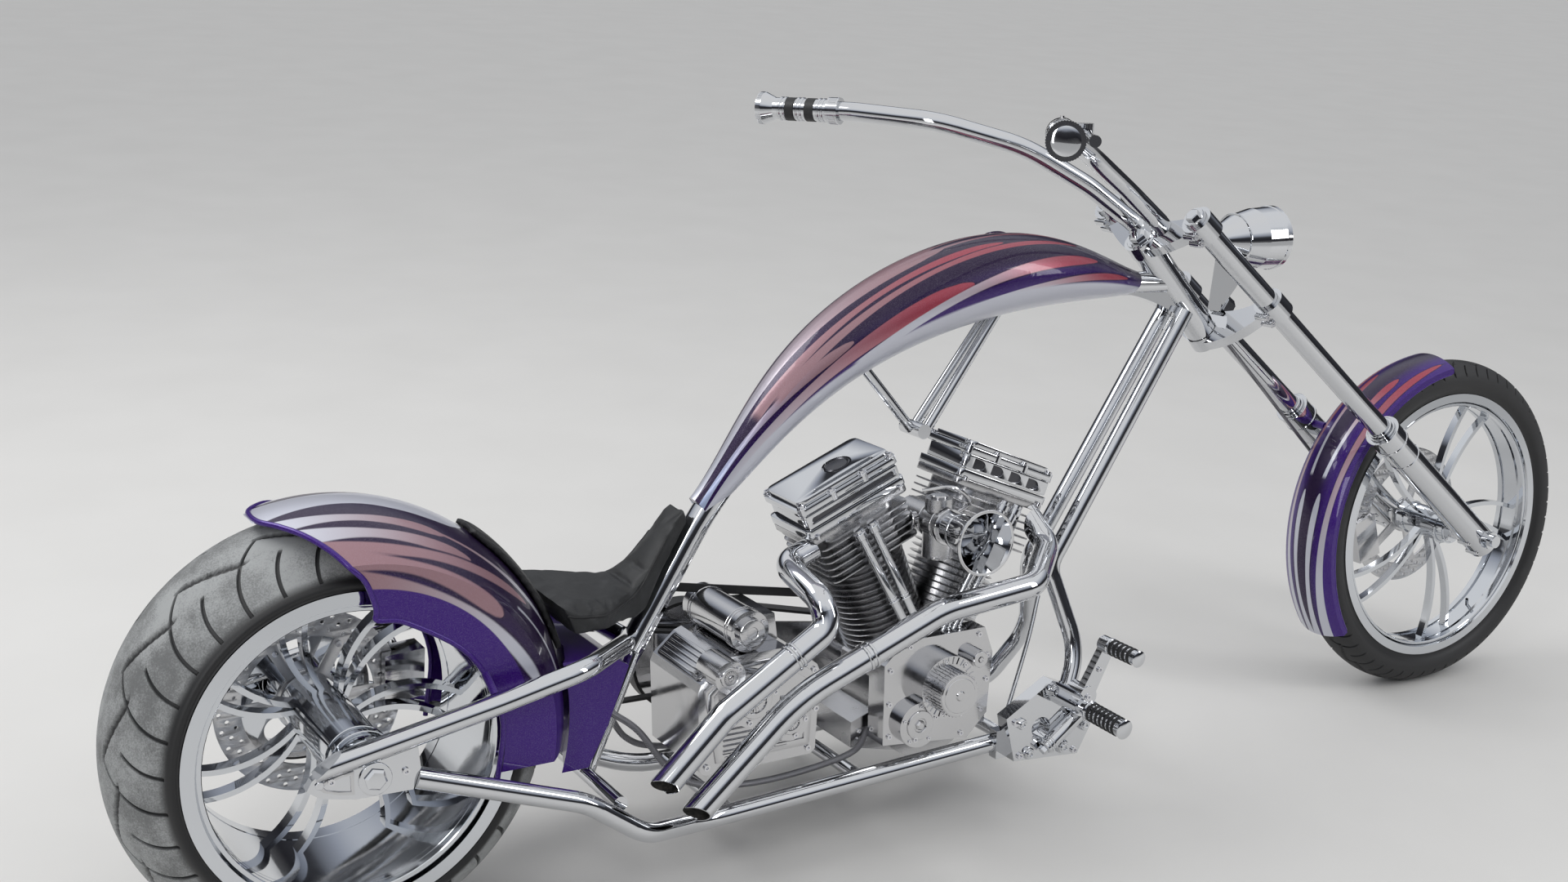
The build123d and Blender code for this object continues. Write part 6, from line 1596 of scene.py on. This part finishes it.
# %% Rods, hoses, strap and panels
CONTROL_ROD = [(1276, 164, 204), (1210, 150, 176), (1142, 126, 168)]            # the left one
HOSES = [
    [(424, -60, 300), (470, -72, 262), (520, -90, 190), (580, -97, 156), (700, -98, 142), (860, -84, 150),
     (912, -60, 178)],
    [(424, 50, 290), (472, 62, 250), (518, 80, 186), (580, 92, 154), (700, 94, 140), (850, 80, 146),
     (910, 56, 176)],
]
PANEL = [(-82, 3), (-70, 11), (-46, 17), (-30, 18), (-30, -17), (-52, -13), (-72, -6)]
PANEL_HOLE = [(-74, 3), (-66, 7), (-46, 12), (-35, 12.5), (-35, -11.5), (-52, -8), (-68, -3)]

rods = [bar(smooth_line([(1292, -30, 352), (1248, -58, 270), (1150, -112, 118)]), 4.0, 12)]
rods += [bar(smooth_line([mirrored(point, side) for point in CONTROL_ROD]), 4.5, 12) for side in (-1, 1)]
add_piece("brace_rods", rods, chrome, "chassis")
hoses = [bar(smooth_line(points), 5.5, 12) for points in HOSES]
add_piece("oil_hoses", hoses, line_braid, "chassis")
strap = slab(frame_at((748, 60, 416), (231, 0, -44), OUT_LEFT), 314, 15, 6, 4.0, 0.8)
add_piece("gearbox_strap", [strap], belt_rubber, "chassis")
panels = []
for side in (-1, 1):
    outlines = [[(x, -side * z) for x, z in outline] for outline in (PANEL, PANEL_HOLE)]
    on_plate = frame_at((0, side * 213.9, RZ), AHEAD, (0, side, 0))
    panels.append(moved(on_plate, cut_plate(outlines, 1.8, 0.4)))
add_piece("axle_plate_panels", panels, alloy, "chassis")

# %% Sooty pipe ends
PIPE_BORE = 20.0
LINER_OUT, LINER_IN = PIPE_BORE - 0.2, PIPE_BORE - 1.4
LINER_LOW, LINER_STEPS = -84.0, 32
soot_shapes = []
for _, before, end in (REAR_RUN, FRONT_RUN):
    end = Vector(end)
    run = (end - Vector(before)).normalized()
    slash = run + Vector((0, -0.75, -0.2))
    around = spokes(*square_frame(run)[1:], LINER_STEPS)
    mouth = [-(slash.dot(spoke) * (PIPE_BORE - 1)) / slash.dot(run) - 7.0 for spoke in around]
    corners = []
    for radius, reaches in ((LINER_OUT, [LINER_LOW - 2] * LINER_STEPS), (LINER_OUT, mouth), (LINER_IN, mouth),
                            (LINER_IN, [LINER_LOW] * LINER_STEPS)):
        corners += [end + spoke * radius + run * reach for spoke, reach in zip(around, reaches)]
    rows = [list(range(start, start + LINER_STEPS)) for start in range(0, len(corners), LINER_STEPS)]
    soot_shapes.append((corners, skin(rows, LINER_STEPS) + [rows[0], rows[-1][::-1]]))
add_piece("pipe_soot_liners", soot_shapes, soot, "chassis")

# %% Works of the foot controls
CONTROL_FACE = 163.6
# along, up, radius and height of each boss
BOSSES = [(1252, 118, 13, 12), (1180, 118, 11, 8), (1300, 150, 11, 9), (1228, 226, 11, 9), (1162, 176, 10, 7)]
COIL_STEPS = 48
control_shapes = []
for side in (-1, 1):
    out = OUT_LEFT * side
    for x, z, radius, tall in BOSSES:
        spot = Vector((x, side * CONTROL_FACE, z))
        boss = [(0, 0), (radius, 0), (radius, tall * 0.6), (radius * 0.8, tall), (0, tall)]
        control_shapes.append(lathe(boss, spot, out, 28))
        control_shapes.append(ring(spot, out, radius * 0.3, radius * 0.62, tall - 0.4, tall + 2.4, 0.6, 24))
    low, high = Vector((1208, side * 176, 126)), Vector((1292, side * 176, 186))
    along = (high - low).normalized()
    control_shapes.append(stub(low, high, 13.4, 2.0, 32))
    for share in (0.08, 0.16, 0.84, 0.92):
        control_shapes.append(ring(low.lerp(high, share), along, 12, 15.4, -2, 2, 0.8, 32))
    control_shapes.append(stub(low - along * 9, low + along * 2, 9, 1.0, 6))
    control_shapes.append(stub(high - along * 2, high + along * 14, 5, 0.8, 20))
    coil = []
    for number in range(COIL_STEPS + 1):
        turned = OUT_LEFT * math.cos(number * 0.75) + along.cross(OUT_LEFT) * math.sin(number * 0.75)
        coil.append(high + along * (2 + 12 * number / COIL_STEPS) + turned * 8)
    control_shapes.append(bar(coil, 1.3, 8))
add_piece("foot_control_works", control_shapes, chrome, "chassis")

# %% [markdown]
# ## The seat's welt
# A welt covers the seam where the seat's top meets its side. The simulation moves the leather, so
# the welt is laid on the finished cover: rays from both sides find it along the seam's line.

# %% Lay the welt
SEAM = [(306, 496), (330, 487), (365, 480), (404, 475), (440, 476), (470, 482), (492, 498), (514, 524),
        (540, 558)]
seam_line = smooth_line([(x, 0, z) for x, z in SEAM], 5)
welts = []
for side in (-1, 1):
    spots = [surface("seat_cover", point.x, point.z, side) for point in seam_line]
    welts.append(bar([spot for spot in spots if spot], 2.3, 10))
# the welt takes the seat's leather made darker as painted shade
add_piece("seat_welt", welts, leather_in_painted_shade, "chassis")

# %% [markdown]
# ## The studio floor
# The floor is a pale sheet that reaches forty metres each way, so the machine stands in an even
# room. It takes the shadow and shows up in the chrome.

# %% Lay the floor
FLOOR_HALF, FLOOR_ROUGHNESS = 40.0, 0.85
FLOOR_TINTS = (0.66, 0.65, 0.63), (0.72, 0.71, 0.69)
floor_finish = bpy.data.materials.new("studio_floor")
floor_finish.use_nodes = True
floor_tree = floor_finish.node_tree
floor_inputs = floor_tree.nodes["Principled BSDF"].inputs
floor_inputs["Roughness"].default_value = FLOOR_ROUGHNESS
floor_where = place(floor_tree, "ShaderNodeTexCoord").outputs["Object"]
floor_clouds = noise(floor_tree, floor_where, 3.0, 4.0)
plug(floor_tree, floor_inputs["Base Color"], mix(floor_tree, floor_clouds, *FLOOR_TINTS))
floor_corners = [(x * FLOOR_HALF, y * FLOOR_HALF, 0) for x, y in ((-1, -1), (1, -1), (1, 1), (-1, 1))]
floor = put("floor", as_mesh((floor_corners, [(0, 1, 2, 3)])))
floor.data.materials.append(floor_finish)
print("floor laid")
